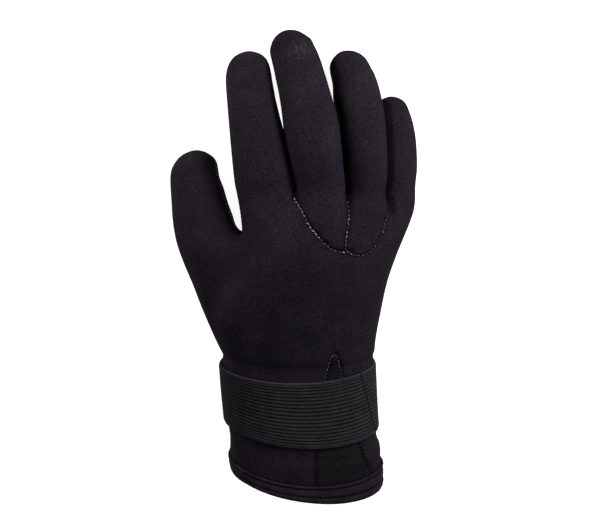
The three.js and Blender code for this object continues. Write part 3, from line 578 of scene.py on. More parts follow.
def curve_through(rows, x):
    """The value at x of a smooth curve through rows of (place, value)."""
    if x <= rows[0][0]:
        return rows[0][1]
    if x >= rows[-1][0]:
        return rows[-1][1]
    index = next(number for number, row in enumerate(rows) if row[0] > x) - 1

    def slope(at):
        before, after = rows[max(at - 1, 0)], rows[min(at + 1, len(rows) - 1)]
        return (after[1] - before[1]) / (after[0] - before[0])

    x0, y0 = rows[index]
    x1, y1 = rows[index + 1]
    span = x1 - x0
    s = (x - x0) / span
    return ((1 + 2 * s) * (1 - s) ** 2 * y0 + s * (1 - s) ** 2 * span * slope(index)
            + s * s * (3 - 2 * s) * y1 + s * s * (s - 1) * span * slope(index + 1))


def seam_functions(forks):
    left, middle, right = forks
    across = right[0] - left[0]
    u_rows = [[left[0] + a * across, left[1] - d * U_SEAM_DEPTH] for a, d in U_SEAM]
    u_rows[-1][1] = right[1]
    centres = [(along, centre * PALM_WIDTH) for along, centre, _ in GUSSET_SECTIONS]
    widths = [(along, width * GUSSET_WIDTH / 2) for along, _, width in GUSSET_SECTIONS]

    def inside_u(point):
        if min(np.linalg.norm(point - left), np.linalg.norm(point - right)) < 0.01:
            return 0.0
        if point[0] <= left[0] or point[0] >= right[0]:
            return -1.0
        return point[1] - curve_through(u_rows, point[0])

    def right_of_centre(point):
        s = min(max((middle[1] - point[1]) / U_SEAM_DEPTH, 0), 1)
        bend = CENTRE_SEAM_BOW * across * math.sin(2 * math.pi * s) * (1 - CENTRE_SEAM_FADE * s)
        value = point[0] - middle[0] - bend
        return 0.0 if abs(value) < 1e-4 else value

    def inside_gusset(point):
        s = (GUSSET_FROM_WRIST - point[1]) / GUSSET_LENGTH
        if s <= 0:
            return -1.0
        return curve_through(widths, s) - abs(point[0] - curve_through(centres, s))

    return inside_u, right_of_centre, inside_gusset


def crossing(a, b, side):
    sign = np.sign(side(a))
    near, far = 0.0, 1.0
    for _ in range(CROSSING_ROUNDS):
        half = (near + far) / 2
        if np.sign(side(a + (b - a) * half)) == sign:
            near = half
        else:
            far = half
    return (near + far) / 2


class Panels:
    """The surface's triangles, each with its panel, and the points they share."""

    def __init__(self, surface):
        self.points = [point for point in surface.points]
        quads = surface.quads
        self.triangles = [(int(q[0]), int(q[1]), int(q[2])) for q in quads]
        self.triangles += [(int(q[0]), int(q[2]), int(q[3])) for q in quads]
        is_hand = surface.part == PARTS.index("hand")
        self.is_hand = list(is_hand) * 2
        own = {"middle": "middle_finger_back", "ring": "ring_finger_back"}
        names = []
        for part, back in zip(surface.part, surface.back):
            names.append(own.get(PARTS[part], "back_panel") if back else "palm_panel")
        self.panel = names * 2

    def snap(self, chosen, value, side):
        beside = {index: set() for index in value}
        for number in chosen:
            corners = self.triangles[number]
            for a in corners:
                beside[a].update(b for b in corners if b != a)
        for a, others in beside.items():
            for b in sorted(others):
                if value[a] * value[b] >= 0:
                    continue
                if any(value[other] == 0 for other in others):
                    break
                share = crossing(self.points[a], self.points[b], side)
                if share > SNAP_SHARE:
                    continue
                self.points[a] = self.points[a] + (self.points[b] - self.points[a]) * share
                value[a] = 0.0

    def cut(self, origin, into, side):
        chosen = [
            number for number, panel in enumerate(self.panel) if panel == origin and self.is_hand[number]
        ]
        value = {}
        for number in chosen:
            for index in self.triangles[number]:
                if index not in value:
                    value[index] = side(self.points[index])
        self.snap(chosen, value, side)
        cuts = {}

        def cut_between(a, b):
            key = (min(a, b), max(a, b))
            if key not in cuts:
                share = crossing(self.points[a], self.points[b], side)
                share = min(max(share, SNAP_SHARE), 1 - SNAP_SHARE)
                self.points.append(self.points[a] + (self.points[b] - self.points[a]) * share)
                cuts[key] = len(self.points) - 1
                value[cuts[key]] = 0.0
            return cuts[key]

        for number in chosen:
            corners = self.triangles[number]
            inside, outside = [], []
            for index, a in enumerate(corners):
                b = corners[(index + 1) % 3]
                if value[a] >= 0:
                    inside.append(a)
                if value[a] <= 0:
                    outside.append(a)
                if value[a] * value[b] < 0:
                    cut = cut_between(a, b)
                    inside.append(cut)
                    outside.append(cut)
            pieces = []
            for loop, panel in ((inside, into), (outside, origin)):
                pieces += [((loop[0], loop[k], loop[k + 1]), panel) for k in range(1, len(loop) - 1)]
            self.triangles[number], self.panel[number] = pieces[0]
            for piece, panel in pieces[1:]:
                self.triangles.append(piece)
                self.panel.append(panel)
                self.is_hand.append(True)
        self.hand_over(into, origin)
        self.hand_over(origin, into)

    def hand_over(self, panel, other):
        """Triangles that hang on to their panel by a corner only go across the seam."""
        own = [number for number, name in enumerate(self.panel) if name == panel]
        home = {number: number for number in own}

        def root_of(number):
            while home[number] != number:
                home[number] = home[home[number]]
                number = home[number]
            return number

        edges = {}
        for number in own:
            a, b, c = self.triangles[number]
            for edge in ((a, b), (b, c), (c, a)):
                key = (min(edge), max(edge))
                if key in edges:
                    home[root_of(number)] = root_of(edges[key])
                edges[key] = number
        groups = {}
        for number in own:
            groups.setdefault(root_of(number), []).append(number)
        largest = max(len(members) for members in groups.values())
        for members in groups.values():
            if len(members) < largest:
                for number in members:
                    self.panel[number] = other


def cut_panels(surface):
    panels = Panels(surface)
    inside_u, right_of_centre, inside_gusset = seam_functions(surface.forks)
    panels.cut("back_panel", "middle_finger_back", inside_u)
    panels.cut("middle_finger_back", "ring_finger_back", right_of_centre)
    panels.cut("back_panel", "cuff_gusset", inside_gusset)
    panels.points = np.array(panels.points)
    panels.triangles = np.array(panels.triangles)
    panels.panel = np.array(panels.panel)
    panels.normals = point_normals(panels.points, panels.triangles)
    return panels


def seam_edges(panels):
    """Edges between two panels, with the names of both."""
    owner = {}
    seams = []
    for corners, panel in zip(panels.triangles, panels.panel):
        for index in range(3):
            a, b = int(corners[index]), int(corners[(index + 1) % 3])
            other = owner.pop((b, a), None)
            if other is None:
                owner[(a, b)] = panel
            elif other != panel:
                seams.append((a, b, frozenset((other, panel))))
    return seams


def chains(seams):
    """Seam edges joined into lines of points, one pair of panels each."""
    lines = []
    for pair in sorted({tuple(sorted(seam[2])) for seam in seams}):
        links = {}
        for a, b, names in seams:
            if tuple(sorted(names)) == pair:
                links.setdefault(a, []).append(b)
                links.setdefault(b, []).append(a)
        ends = sorted(index for index, others in links.items() if len(others) != 2)
        starts = ends + sorted(links)
        used = set()
        for start in starts:
            for following in list(links[start]):
                if (start, following) in used:
                    continue
                line = [start, following]
                used.update(((start, following), (following, start)))
                while len(links[line[-1]]) == 2:
                    step = [other for other in links[line[-1]] if (line[-1], other) not in used]
                    if not step:
                        break
                    used.update(((line[-1], step[0]), (step[0], line[-1])))
                    line.append(step[0])
                lines.append((pair, line))
    return lines


# Meshes

def shift_to_frame(surface):
    """What moves the glove from the wrist line to the frame: its box meets the solids' box."""
    lows, highs = zip(*(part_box(name) for name in PANELS))
    low = np.min(np.array(lows), axis=0) / MM
    high = np.max(np.array(highs), axis=0) / MM
    middle = (surface.points.min(axis=0) + surface.points.max(axis=0)) / 2
    return vec((low[0] + high[0]) / 2 - middle[0], high[1] - surface.points[:, 1].max(), 0)


def build_mesh(name, points, faces, materials, material_of=None, place_of=None):
    """An object in the frame, in metres, smooth, with its faces' materials and places."""
    mesh = bpy.data.meshes.new(name)
    placed = np.array(points) + SHIFT
    placed[:, 2] = np.maximum(placed[:, 2], 0)
    mesh.from_pydata(placed * MM, [], [tuple(int(i) for i in f) for f in faces])
    for material in materials:
        mesh.materials.append(material)
    if material_of is not None:
        mesh.polygons.foreach_set("material_index", np.array(material_of, np.int32))
    mesh.polygons.foreach_set("use_smooth", [True] * len(mesh.polygons))
    if place_of is not None:
        uv = mesh.uv_layers.new(name="place")
        flat = [value for face in mesh.polygons for index in face.vertices for value in place_of[index]]
        uv.data.foreach_set("uv", flat)
    mesh.update()
    piece = bpy.data.objects.new(name, mesh)
    bpy.context.collection.objects.link(piece)
    return piece


def add_attribute(piece, name, values):
    piece.data.attributes.new(name, "FLOAT", "POINT").data.foreach_set("value", values)


def border_edges(triangles):
    edges = {}
    for corners in triangles:
        for index in range(3):
            a, b = int(corners[index]), int(corners[(index + 1) % 3])
            if (b, a) in edges:
                del edges[(b, a)]
            else:
                edges[(a, b)] = True
    return list(edges)


def inward_steps(points, normals, edges):
    sides = {}
    for a, b in edges:
        along = points[b] - points[a]
        for index in (a, b):
            sides.setdefault(index, []).append(unit(np.cross(normals[index], along)))
    steps = {}
    for index, found in sides.items():
        first, second = found[0], found[-1]
        steps[index] = (first + second) / max(1 + first.dot(second), 0.5)
    return steps


def search_tree(points):
    """What finds the nearest of the points to a place."""
    tree = kdtree.KDTree(len(points))
    for number, point in enumerate(points):
        tree.insert(Vector(point), number)
    tree.balance()
    return tree


def distances(points, others):
    """The distance of each point to the nearest of the others."""
    tree = search_tree(others)
    return np.array([tree.find(Vector(point))[2] for point in points])


def bell(distance, width):
    """One at no distance, falling off softly over a width."""
    return np.exp(-(distance / width) ** 2)


def sculpt(panels, seams):
    """How far each point sinks into a seam, and how near the nearest seam is."""
    border = sorted({index for a, b, _ in seams for index in (a, b)})
    near = distances(panels.points, panels.points[border])
    pucker = np.array([noise.noise(Vector(point) / PUCKER_PITCH) for point in panels.points])
    depth = GROOVE_DEPTH * bell(near, GROOVE_WIDTH)
    return depth + PUCKER_DEPTH * pucker * bell(near, PUCKER_REACH), near


# Low wide folds of the cloth, seeded by place: their pitch and rise in mm
FOLD_PITCH = 38
FOLD_RISE = 0.25
FOLD_SEED = (3.1, 0.4, 7.7)
# Small swells and dents of the cloth: place from the wrist line, reach and rise in mm
SWELLS = (
    ((-4.5, 107, 34), 10.5, 1.0), ((8, 96, 52), 11, 1.1), ((33, 93, 48), 9, 0.8),
    ((25.9, 103, 33), 7, 0.6), ((66.5, 92.5, 15), 6, 0.6), ((9, 175.6, 12), 5, -0.8),
    ((41, 164, 12), 5, -0.9), ((41.5, -2, 28), 6, 1.1), ((18.7, 142, 17), 7, 0.5),
    ((53.5, 100, 22), 5, -1.3), ((54, 116, 19), 5, -1.6), ((53, 131, 16), 5, -1.3),
)


def folds(points):
    """Soft dents and creases of the neoprene, in mm outward."""
    seed = Vector(FOLD_SEED)
    lift = FOLD_RISE * np.array([
        noise.fractal(Vector(point) / FOLD_PITCH + seed, 0.6, 2.1, 3) for point in points
    ])
    for place, reach, rise in SWELLS:
        lift += rise * bell(np.linalg.norm(points - vec(*place), axis=1), reach)
    return lift


# Painted shade on the flanks of the middle, ring and little finger: up to where it is full, and
# from where there is none, in mm from the finger on their left
GAP_SHADE_REACH = ((3.0, 4.6), (3.4, 5.2), (5.0, 6.4))
# How wide and how strong the painted shade line of the cuff above the hem's edge is
HEM_SHADE_WIDTH = 0.9
HEM_SHADE_SHARE = 0.85


def paint_gap_shade(panels, surface, hem_edge):
    """Paints shade on the flanks in the narrow gaps between fingers, and on the line above the hem's edge.
    """
    panels.finger_gap = np.zeros(len(panels.points))
    own = [np.unique(surface.quads[surface.part == PARTS.index(name)]) for name in PARTS[1:5]]
    for theirs, mine, (all_of_it, none_of_it) in zip(own, own[1:], GAP_SHADE_REACH):
        distance = distances(surface.points[mine], surface.points[theirs])
        panels.finger_gap[mine] = 1 - smooth_step(all_of_it, none_of_it, distance)
        panels.finger_gap[np.intersect1d(mine, theirs)] = 0
    panels.hem_line = HEM_SHADE_SHARE * bell(distances(panels.points, hem_edge), HEM_SHADE_WIDTH)


def panel_piece(panels, name, near, materials):
    """One panel: outer skin rounded into the seams, inner lining and the wall between."""
    chosen = panels.triangles[panels.panel == name]
    edges = border_edges(chosen)
    used, corners = np.unique(chosen, return_inverse=True)
    corners = corners.reshape(-1, 3)
    count = len(used)
    inward = np.zeros(panels.points.shape)
    for index, step in inward_steps(panels.outer, panels.outer_normals, edges).items():
        inward[index] = step * SEAM_GAP / 2
    outer = panels.outer + inward
    lining = panels.points - panels.normals * NEOPRENE + inward
    a, b = np.searchsorted(used, edges).T
    walls = np.stack([a, a + count, b + count, b], axis=1)
    faces = [*corners, *(corners[:, ::-1] + count), *walls]
    material_of = np.repeat([0, 1, 0], [len(chosen), len(chosen), len(walls)])
    points = np.concatenate([outer[used], lining[used]])
    piece = build_mesh(name + "_cloth", points, faces, materials, material_of)
    # Painted shade near the seams and along the hem's top edge
    dark = np.maximum(bell(near, SEAM_SHADE_WIDTH), panels.hem_line)
    for label, values in (("painted_seam_shade", dark), ("finger_gap", panels.finger_gap)):
        add_attribute(piece, label, np.concatenate([values[used], np.zeros(count)]))
    return piece


class Grid:
    """Points and normals of the hand between two rows of the net, in even columns around it."""

    def __init__(self, surface, points, normals, first_row, last_row):
        fine = 2 ** FINE_LEVEL
        is_hand = surface.part == PARTS.index("hand")
        corners = surface.quads[is_hand].ravel()
        places = surface.places[is_hand].reshape(-1, 2)
        rows = np.rint((places[:, 1] - first_row) * fine).astype(int)
        columns = np.rint(places[:, 0] * fine).astype(int) % (AROUND_HAND * fine)
        self.count = (last_row - first_row) * fine
        inside = (rows >= 0) & (rows <= self.count)
        index = np.zeros((self.count + 1, AROUND_HAND * fine), int)
        index[rows[inside], columns[inside]] = corners[inside]
        self.points = points[index]
        self.normals = normals[index]
        self.shares = np.linspace(0, 1, self.count + 1)

    def at(self, shares):
        """Smooth points and normals across the rows at these shares of the way up."""
        base = np.vander(self.shares, 5)
        wanted = np.vander(np.asarray(shares, float), 5)
        weights = wanted @ np.linalg.pinv(base)
        points = np.einsum("kr,rcx->kcx", weights, self.points)
        normals = unit(np.einsum("kr,rcx->kcx", weights, self.normals))
        return points, normals

    def length(self):
        """Mean distance across the rows, in mm."""
        return np.linalg.norm(np.diff(self.points, axis=0), axis=2).sum(axis=0).mean()

    def around(self):
        """Distance around the hand up to each column, in mm."""
        middle = self.points[self.count // 2]
        steps = np.linalg.norm(np.roll(middle, -1, axis=0) - middle, axis=1)
        return np.concatenate([[0], np.cumsum(steps)[:-1]])


def swept_piece(name, grid, profile, materials, beyond=None, lift=None):
    """A closed profile of (share across, offset, beyond) swept round the hand.

    beyond moves a point past the first row; lift adds to the offset column by column."""
    profile = np.array(profile, float)
    points, normals = grid.at(profile[:, 0])
    offset = profile[:, 1][:, None] + (0 if lift is None else lift(profile))
    points = points + normals * offset[..., None]
    if beyond is not None:
        points = points + beyond[None] * profile[:, 2][:, None, None]
    rows, columns = points.shape[:2]
    number = np.arange(rows * columns).reshape(rows, columns)
    next_row = np.roll(number, -1, axis=0)
    faces = np.stack([
        number, np.roll(number, -1, axis=1), np.roll(next_row, -1, axis=1), next_row,
    ], axis=-1).reshape(-1, 4)
    across = profile[:, 0] * grid.length() - profile[:, 2]
    place = np.stack([
        np.tile(grid.around(), rows), np.repeat(across, columns),
    ], axis=1)
    return build_mesh(name, points.reshape(-1, 3), faces, materials, None, place)


# The wrist strap: ribbed elastic with flat selvages, a full loop round the wrist

RIB_PITCH = 1.95
RIB_HEIGHT = 0.5
SELVAGE = 1.5
EDGE_ROUND = 0.7


def rib_layout(width):
    """Number and pitch of the ribs that fill the strap between its selvages."""
    ribs = round((width - 2 * SELVAGE) / RIB_PITCH)
    return ribs, (width - 2 * SELVAGE) / ribs


def strap_profile(width):
    base = CLEARANCE + STRAP_THICKNESS - 0.2
    rise = (base - CLEARANCE) / 2
    ribs, pitch = rib_layout(width)
    edge = [
        (EDGE_ROUND * (1 - math.cos(a)), CLEARANCE + rise + rise * math.sin(a))
        for a in map(math.radians, np.linspace(-90, 90, 5))
    ]
    edge.append((SELVAGE * 0.8, base + 0.05))
    profile = list(edge)
    for rib in range(ribs):
        for share in (0, 0.14, 0.32, 0.5, 0.68, 0.86):
            height = RIB_HEIGHT * math.sin(math.pi * share) ** 0.6 if share else 0
            profile.append((SELVAGE + (rib + share) * pitch, base - 0.1 + height))
    profile.append((width - SELVAGE, base - 0.1))
    profile += [(width - v, offset) for v, offset in reversed(edge)]
    profile += [(width * share, CLEARANCE) for share in np.linspace(0.92, 0.08, 8)]
    return [(v / width, offset, 0) for v, offset in profile]


def strap_piece(grid, material):
    width = grid.length()
    around = grid.around()
    total = around[-1]

    def lift(profile):
        edge = np.exp(-((1 - profile[:, 0]) * width / 2.2) ** 2)[:, None]
        wave = 0.5 + 0.5 * np.sin(around / total * 2 * math.pi * 3 + 0.6)[None]
        ripple = np.sin(around / 17 + 0.8)[None] * np.sin(profile[:, 0] * 2.4 + 0.3)[:, None]
        return 0.35 * edge * wave + 0.12 * ripple + 0.12

    return swept_piece("strap_elastic", grid, strap_profile(width), [material], None, lift)


# The strap's tab under the wrist

TAB_STEPS = (13, 17)
TAB_MARGIN = 2.0


def tab_piece(grid, material):
    fine = 2 ** FINE_LEVEL
    width = grid.length()
    columns = np.arange(TAB_STEPS[0] * fine + 1, TAB_STEPS[1] * fine)
    shares = np.linspace(TAB_MARGIN / width, 1 - TAB_MARGIN / width, 25)
    points, normals = grid.at(shares)
    points, normals = points[:, columns], normals[:, columns]
    around = grid.around()[columns]
    to_side = np.minimum(around - around[0], around[-1] - around)[None]
    to_end = (np.minimum(shares - shares[0], shares[-1] - shares) * width)[:, None]
    near = np.minimum(np.minimum(to_side, to_end) / EDGE_ROUND, 1)
    round_off = np.sqrt(1 - (1 - near) ** 2)
    inner = CLEARANCE + STRAP_THICKNESS + CLEARANCE
    sewn = 0.25 * np.exp(-((np.minimum(to_side, to_end) - 2.5) / 0.5) ** 2)
    top = points + normals * (inner + 0.4 + (TAB_THICKNESS - 0.4) * round_off - sewn)[..., None]
    bottom = points + normals * inner
    rows, count = top.shape[:2]
    number = np.arange(rows * count).reshape(rows, count)
    upper = np.stack([number[:-1, :-1], number[:-1, 1:], number[1:, 1:], number[1:, :-1]], -1).reshape(-1, 4)
    lower = upper[:, ::-1] + rows * count
    rim = np.concatenate([number[0, :-1], number[:-1, -1], number[-1, :0:-1], number[:0:-1, 0]])
    ahead = np.roll(rim, -1)
    walls = np.stack([rim, rim + rows * count, ahead + rows * count, ahead], -1)
    place = np.stack([np.tile(around, rows), np.repeat(shares * width, count)], axis=1)
    return build_mesh(
        "strap_tab_cloth", np.concatenate([top.reshape(-1, 3), bottom.reshape(-1, 3)]),
        np.concatenate([upper, lower, walls]), [material], None, np.concatenate([place, place]),
    )


# The hem: a binding folded round the cuff's edge, with a row of topstitching

TOPSTITCH_FROM_EDGE = 3.4
HEM_STITCH = 2.6
HEM_DIP = 1.9
HEM_BULGE_AT = (43.5, -80, 26)
HEM_BULGE_REACH = 7


# The binding's folded top edge, (down from the edge, height), and the topstitching's groove,
# (up from the stitches, depth), in mm
HEM_FOLD = (
    (0, 0.35), (0, 0.9), (0.35, 1.3), (0.8, 1.42), (1.25, 1.2), (HEM_DIP, 0.7), (2.6, 1.05),
    (4.0, 1.35),
)
HEM_GROOVE = ((0.9, 0.05), (0.45, 0.55), (0, 0.85), (-0.45, 0.55), (-0.9, 0.05))


def hem_profile(width):
    outer = CLEARANCE + BINDING
    half = NEOPRENE / 2
    profile = [(width - down, height, 0) for down, height in HEM_FOLD]
    for v in np.linspace(width - 5.4, TOPSTITCH_FROM_EDGE + 1.2, 5):
        profile.append((v, outer + 0.22, 0))
    profile += [(TOPSTITCH_FROM_EDGE + up, outer + 0.15 - sink, 0) for up, sink in HEM_GROOVE]
    profile.append((TOPSTITCH_FROM_EDGE - 1.6, outer + 0.3, 0))
    profile.append((0.7, outer + 0.15, 0))
    for a in map(math.radians, np.linspace(90, -90, 9)):
        profile.append((0, -half + (half + outer) * math.sin(a), (outer + 0.35) * math.cos(a)))
    profile += [(v, -NEOPRENE - outer, 0) for v in np.linspace(1, width, 8)]
    profile += [(v, -NEOPRENE - CLEARANCE, 0) for v in np.linspace(width, 1, 6)]
    for a in map(math.radians, np.linspace(-90, 90, 7)):
        profile.append((0, -half + (half + CLEARANCE) * math.sin(a), CLEARANCE * math.cos(a)))
    profile.append((width * 0.5, CLEARANCE, 0))
    return [(v / width, offset, beyond) for v, offset, beyond in profile]


def hem_piece(grid, material):
    width = grid.length()
    around = grid.around()
    beyond = unit(grid.points[0] - grid.points[1])

    def lift(profile):
        v = profile[:, 0] * width
        is_outside = (profile[:, 1] > 0.4)[:, None]
        at_stitch = np.exp(-((v - TOPSTITCH_FROM_EDGE) / 0.9) ** 2)[:, None]
        dimples = np.cos(around / HEM_STITCH * 2 * math.pi)[None] * at_stitch * 0.25
        soft = np.array([noise.noise(Vector((a / 7, 0.7, 2.2))) for a in around])[None] * 0.4
        distance = np.linalg.norm(grid.points[0] - vec(*HEM_BULGE_AT), axis=1)
        bulge = np.exp(-(distance / HEM_BULGE_REACH) ** 2)[None] * 0.9
        return (dimples + soft + bulge) * is_outside

    return swept_piece("hem_cloth", grid, hem_profile(width), [material], beyond, lift)


# Thread

STITCH_PITCH = 2.3
STITCH_LENGTH = 2.0
STITCH_RADIUS = 0.25
STITCH_SIDES = 6
STITCH_RINGS = 6
# How far ahead and behind a place the direction of its line is taken, in mm
DIRECTION_STEP = 0.6


class Thread:
    """Collects stitches, each a small bowed capsule of thread with a brightness of its own."""

    def __init__(self):
        self.points = []
        self.faces = []
        self.bright = []

    def add(self, centre, along, normal, length, radius, bright):
        across = unit(np.cross(normal, along))
        first = len(self.points)
        for ring in range(STITCH_RINGS):
            s = ring / (STITCH_RINGS - 1)
            bow = math.sin(math.pi * s)
            middle = centre + along * length * (s - 0.5) + normal * (0.3 * bow - 0.18)
            around = radius * (0.35 + 0.65 * bow ** 0.4 if 0 < s < 1 else 0.3)
            for side in range(STITCH_SIDES):
                angle = 2 * math.pi * side / STITCH_SIDES
                self.points.append(middle + (across * math.cos(angle) + normal * math.sin(angle)) * around)
                self.bright.append(bright)
        for ring in range(STITCH_RINGS - 1):
            for side in range(STITCH_SIDES):
                a = first + ring * STITCH_SIDES + side
                b = first + ring * STITCH_SIDES + (side + 1) % STITCH_SIDES
                self.faces.append((a, b, b + STITCH_SIDES, a + STITCH_SIDES))
        self.faces.append(tuple(range(first + STITCH_SIDES - 1, first - 1, -1)))
        end = first + (STITCH_RINGS - 1) * STITCH_SIDES
        self.faces.append(tuple(range(end, end + STITCH_SIDES)))

    def piece(self, name, material):
        piece = build_mesh(name, self.points, self.faces, [material])
        add_attribute(piece, "thread_brightness", self.bright)
        return piece


def resampled(points, pitch):
    """Places along a line of points, one pitch apart, each with its direction."""
    steps = np.linalg.norm(np.diff(points, axis=0), axis=1)
    distance = np.concatenate([[0], np.cumsum(steps)])
    count = int(distance[-1] // pitch)
    wanted = (np.arange(count) + 0.5) * distance[-1] / max(count, 1)

    def at(step):
        columns = [np.interp(wanted + step, distance, points[:, axis]) for axis in range(3)]
        return np.stack(columns, axis=1)

    return at(0), unit(at(DIRECTION_STEP) - at(-DIRECTION_STEP) + 1e-9)


# How bright the thread shows along each seam
SEAM_BRIGHTNESS = {
    frozenset(("back_panel", "middle_finger_back")): 0.82,
    frozenset(("back_panel", "ring_finger_back")): 0.5,
    frozenset(("middle_finger_back", "ring_finger_back")): 0.66,
    frozenset(("back_panel", "cuff_gusset")): 0.5,
}
PARTING_BRIGHTNESS = 0.16
THUMB_GAP_BRIGHTNESS = 0.6
THUMB_GAP = ((-52, 70), (-35, 114))
LOWER_GUSSET_BRIGHTNESS = 0.06
LOWER_GUSSET_FROM = -44
# How far beside the seam the pale stitches and the near-black stitches of painted groove shade lie, and how
# high above it, in mm
BRIGHT_ASIDE = 0.22
SHADE_STITCH_ASIDE = 0.42
STITCH_LEVEL = 0.34
# Stitches end this far from a fork, the gusset's point has this tail of them, and a line of
# fewer points than the last number isn't sewn
NEAR_FORK = 8
GUSSET_TAIL = 7
SHORTEST_LINE = 4


def stitch_brightness(pair, place):
    """How bright a stitch of this seam shows at this place."""
    if pair == frozenset(("back_panel", "cuff_gusset")) and place[1] < LOWER_GUSSET_FROM:
        return LOWER_GUSSET_BRIGHTNESS
    (low_x, low_y), (high_x, high_y) = THUMB_GAP
    if low_x < place[0] < high_x and low_y < place[1] < high_y:
        return THUMB_GAP_BRIGHTNESS
    return SEAM_BRIGHTNESS.get(pair, PARTING_BRIGHTNESS)


def is_beyond_fork(place, forks):
    """Whether a stitch would lie in the web between two fingers."""
    return any(place[1] > fork[1] - 0.8 and np.linalg.norm(place - fork) < NEAR_FORK for fork in forks)


def sew_seams(panels, seams, forks, thread, random):
    """Worn overlock: a short pale stitch on one side of the seam, and on the other a near-black one as
    painted shade in the seam's groove.
    """
    for pair, line in chains(seams):
        if len(line) < SHORTEST_LINE:
            continue
        points, normals = panels.outer[line], panels.normals[line]
        smooth = points.copy()
        smooth[1:-1] = (points[:-2] + 2 * points[1:-1] + points[2:]) / 4
        places, along = resampled(smooth, STITCH_PITCH)
        tree = search_tree(points)
        outward = 1 if pair[0] == "back_panel" and places[0][0] < forks[1][0] else -1
        for number, (place, direction) in enumerate(zip(places, along)):
            if pair != ("back_panel", "palm_panel") and is_beyond_fork(place, forks):
                continue
            normal = normals[tree.find(Vector(place))[1]]
            straight = unit(direction - normal * normal.dot(direction))
            aside = np.cross(normal, straight)
            aside = aside if aside[0] * outward < 0 else -aside
            leaning = turned(straight, normal, math.radians(22 if number % 2 else -8))
            bright = stitch_brightness(frozenset(pair), place)
            worn = bright * (0.45 + 0.75 * random.random())
            length = STITCH_LENGTH * (0.7 + 0.45 * random.random())
            level = place + normal * STITCH_LEVEL
            thread.add(level + aside * BRIGHT_ASIDE, leaning, normal, length, STITCH_RADIUS, worn)
            # A near-black stitch as painted shade in the seam's groove
            thread.add(level - aside * SHADE_STITCH_ASIDE, straight, normal, STITCH_PITCH * 0.8, STITCH_RADIUS, 0)


def sew_tail(panels, thread):
    """The dart's dark stitches that run on above the gusset's point."""
    x = GUSSET_SECTIONS[0][1] * PALM_WIDTH
    is_back = panels.outer_normals[:, 2] > 0.7
    tops, normals = panels.outer[is_back], panels.outer_normals[is_back]
    for step in np.arange(STITCH_PITCH / 2, GUSSET_TAIL, STITCH_PITCH):
        place = vec(x - 0.06 * step, GUSSET_FROM_WRIST + step)
        nearest = int(np.argmin(np.linalg.norm(tops[:, :2] - place, axis=1)))
        centre = vec(place[0], place[1], tops[nearest][2] + 0.1)
        thread.add(centre, vec(0.05, 1, 0), normals[nearest], STITCH_PITCH * 0.85, 0.3, 0)


def sew_hem(grid, thread, random):
    points, normals = (values[0] for values in grid.at([TOPSTITCH_FROM_EDGE / grid.length()]))
    line = np.concatenate([points, points[:1]])
    level = CLEARANCE + BINDING - 0.05
    places, along = resampled(line, HEM_STITCH)
    tree = search_tree(points)
    for place, direction in zip(places, along):
        normal = normals[tree.find(Vector(place))[1]]
        worn = 0.02 + 0.14 * random.random()
        thread.add(place + normal * level, direction, normal, HEM_STITCH * 0.6, 0.2, worn)


# Materials

# Colours of the cloths: the dark and the light of the mottling, and the lint on it
NEOPRENE_COLOURS = ((0.0057, 0.0043, 0.0062), (0.0102, 0.0078, 0.0113), (0.034, 0.031, 0.037))
GUSSET_COLOURS = ((0.0042, 0.0038, 0.0044), (0.0068, 0.0062, 0.0072), (0.02, 0.019, 0.021))
LINING_COLOURS = ((0.009, 0.009, 0.01), (0.018, 0.017, 0.02))
BINDING_COLOURS = ((0.0068, 0.0054, 0.0073), (0.0135, 0.0109, 0.0143))
ELASTIC_COLOURS = ((0.0142, 0.0138, 0.0156), (0.0235, 0.0229, 0.0259))
SELVAGE_COLOUR = (0.02, 0.0193, 0.0212)
CREASE_SHADE_COLOUR = (0.002, 0.002, 0.002)
# Painted shade at the seams and in the gaps between fingers: its colour, and the share of each that shows
SEAM_SHADE_COLOUR = (0.0016, 0.0014, 0.0016)
SEAM_SHADE = 0.8
GAP_SHADE_COLOUR = (0.0012, 0.001, 0.0013)
GAP_SHADE = 0.72
# Thread, from hidden, near black and also the painted shade in the seams' grooves, to bright
THREAD_COLOURS = (
    (0, (0.0012, 0.0011, 0.0013)), (0.3, (0.024, 0.022, 0.025)),
    (0.65, (0.092, 0.091, 0.106)), (1, (0.2, 0.198, 0.235)),
)
# The scuff on the middle fingertip: its place from the wrist line, its reach in mm, its strength
SCUFF_AT = (0.5, 172, 22)
SCUFF_REACH = 9
SCUFF_SHARE = 0.35
# The worn middle of the hand: its place from the wrist line, its reach in mm and its tint
WORN_AT = (0, 18, 52)
WORN_REACH = 52
WORN_TINT = (0.97, 1.12, 1.04)


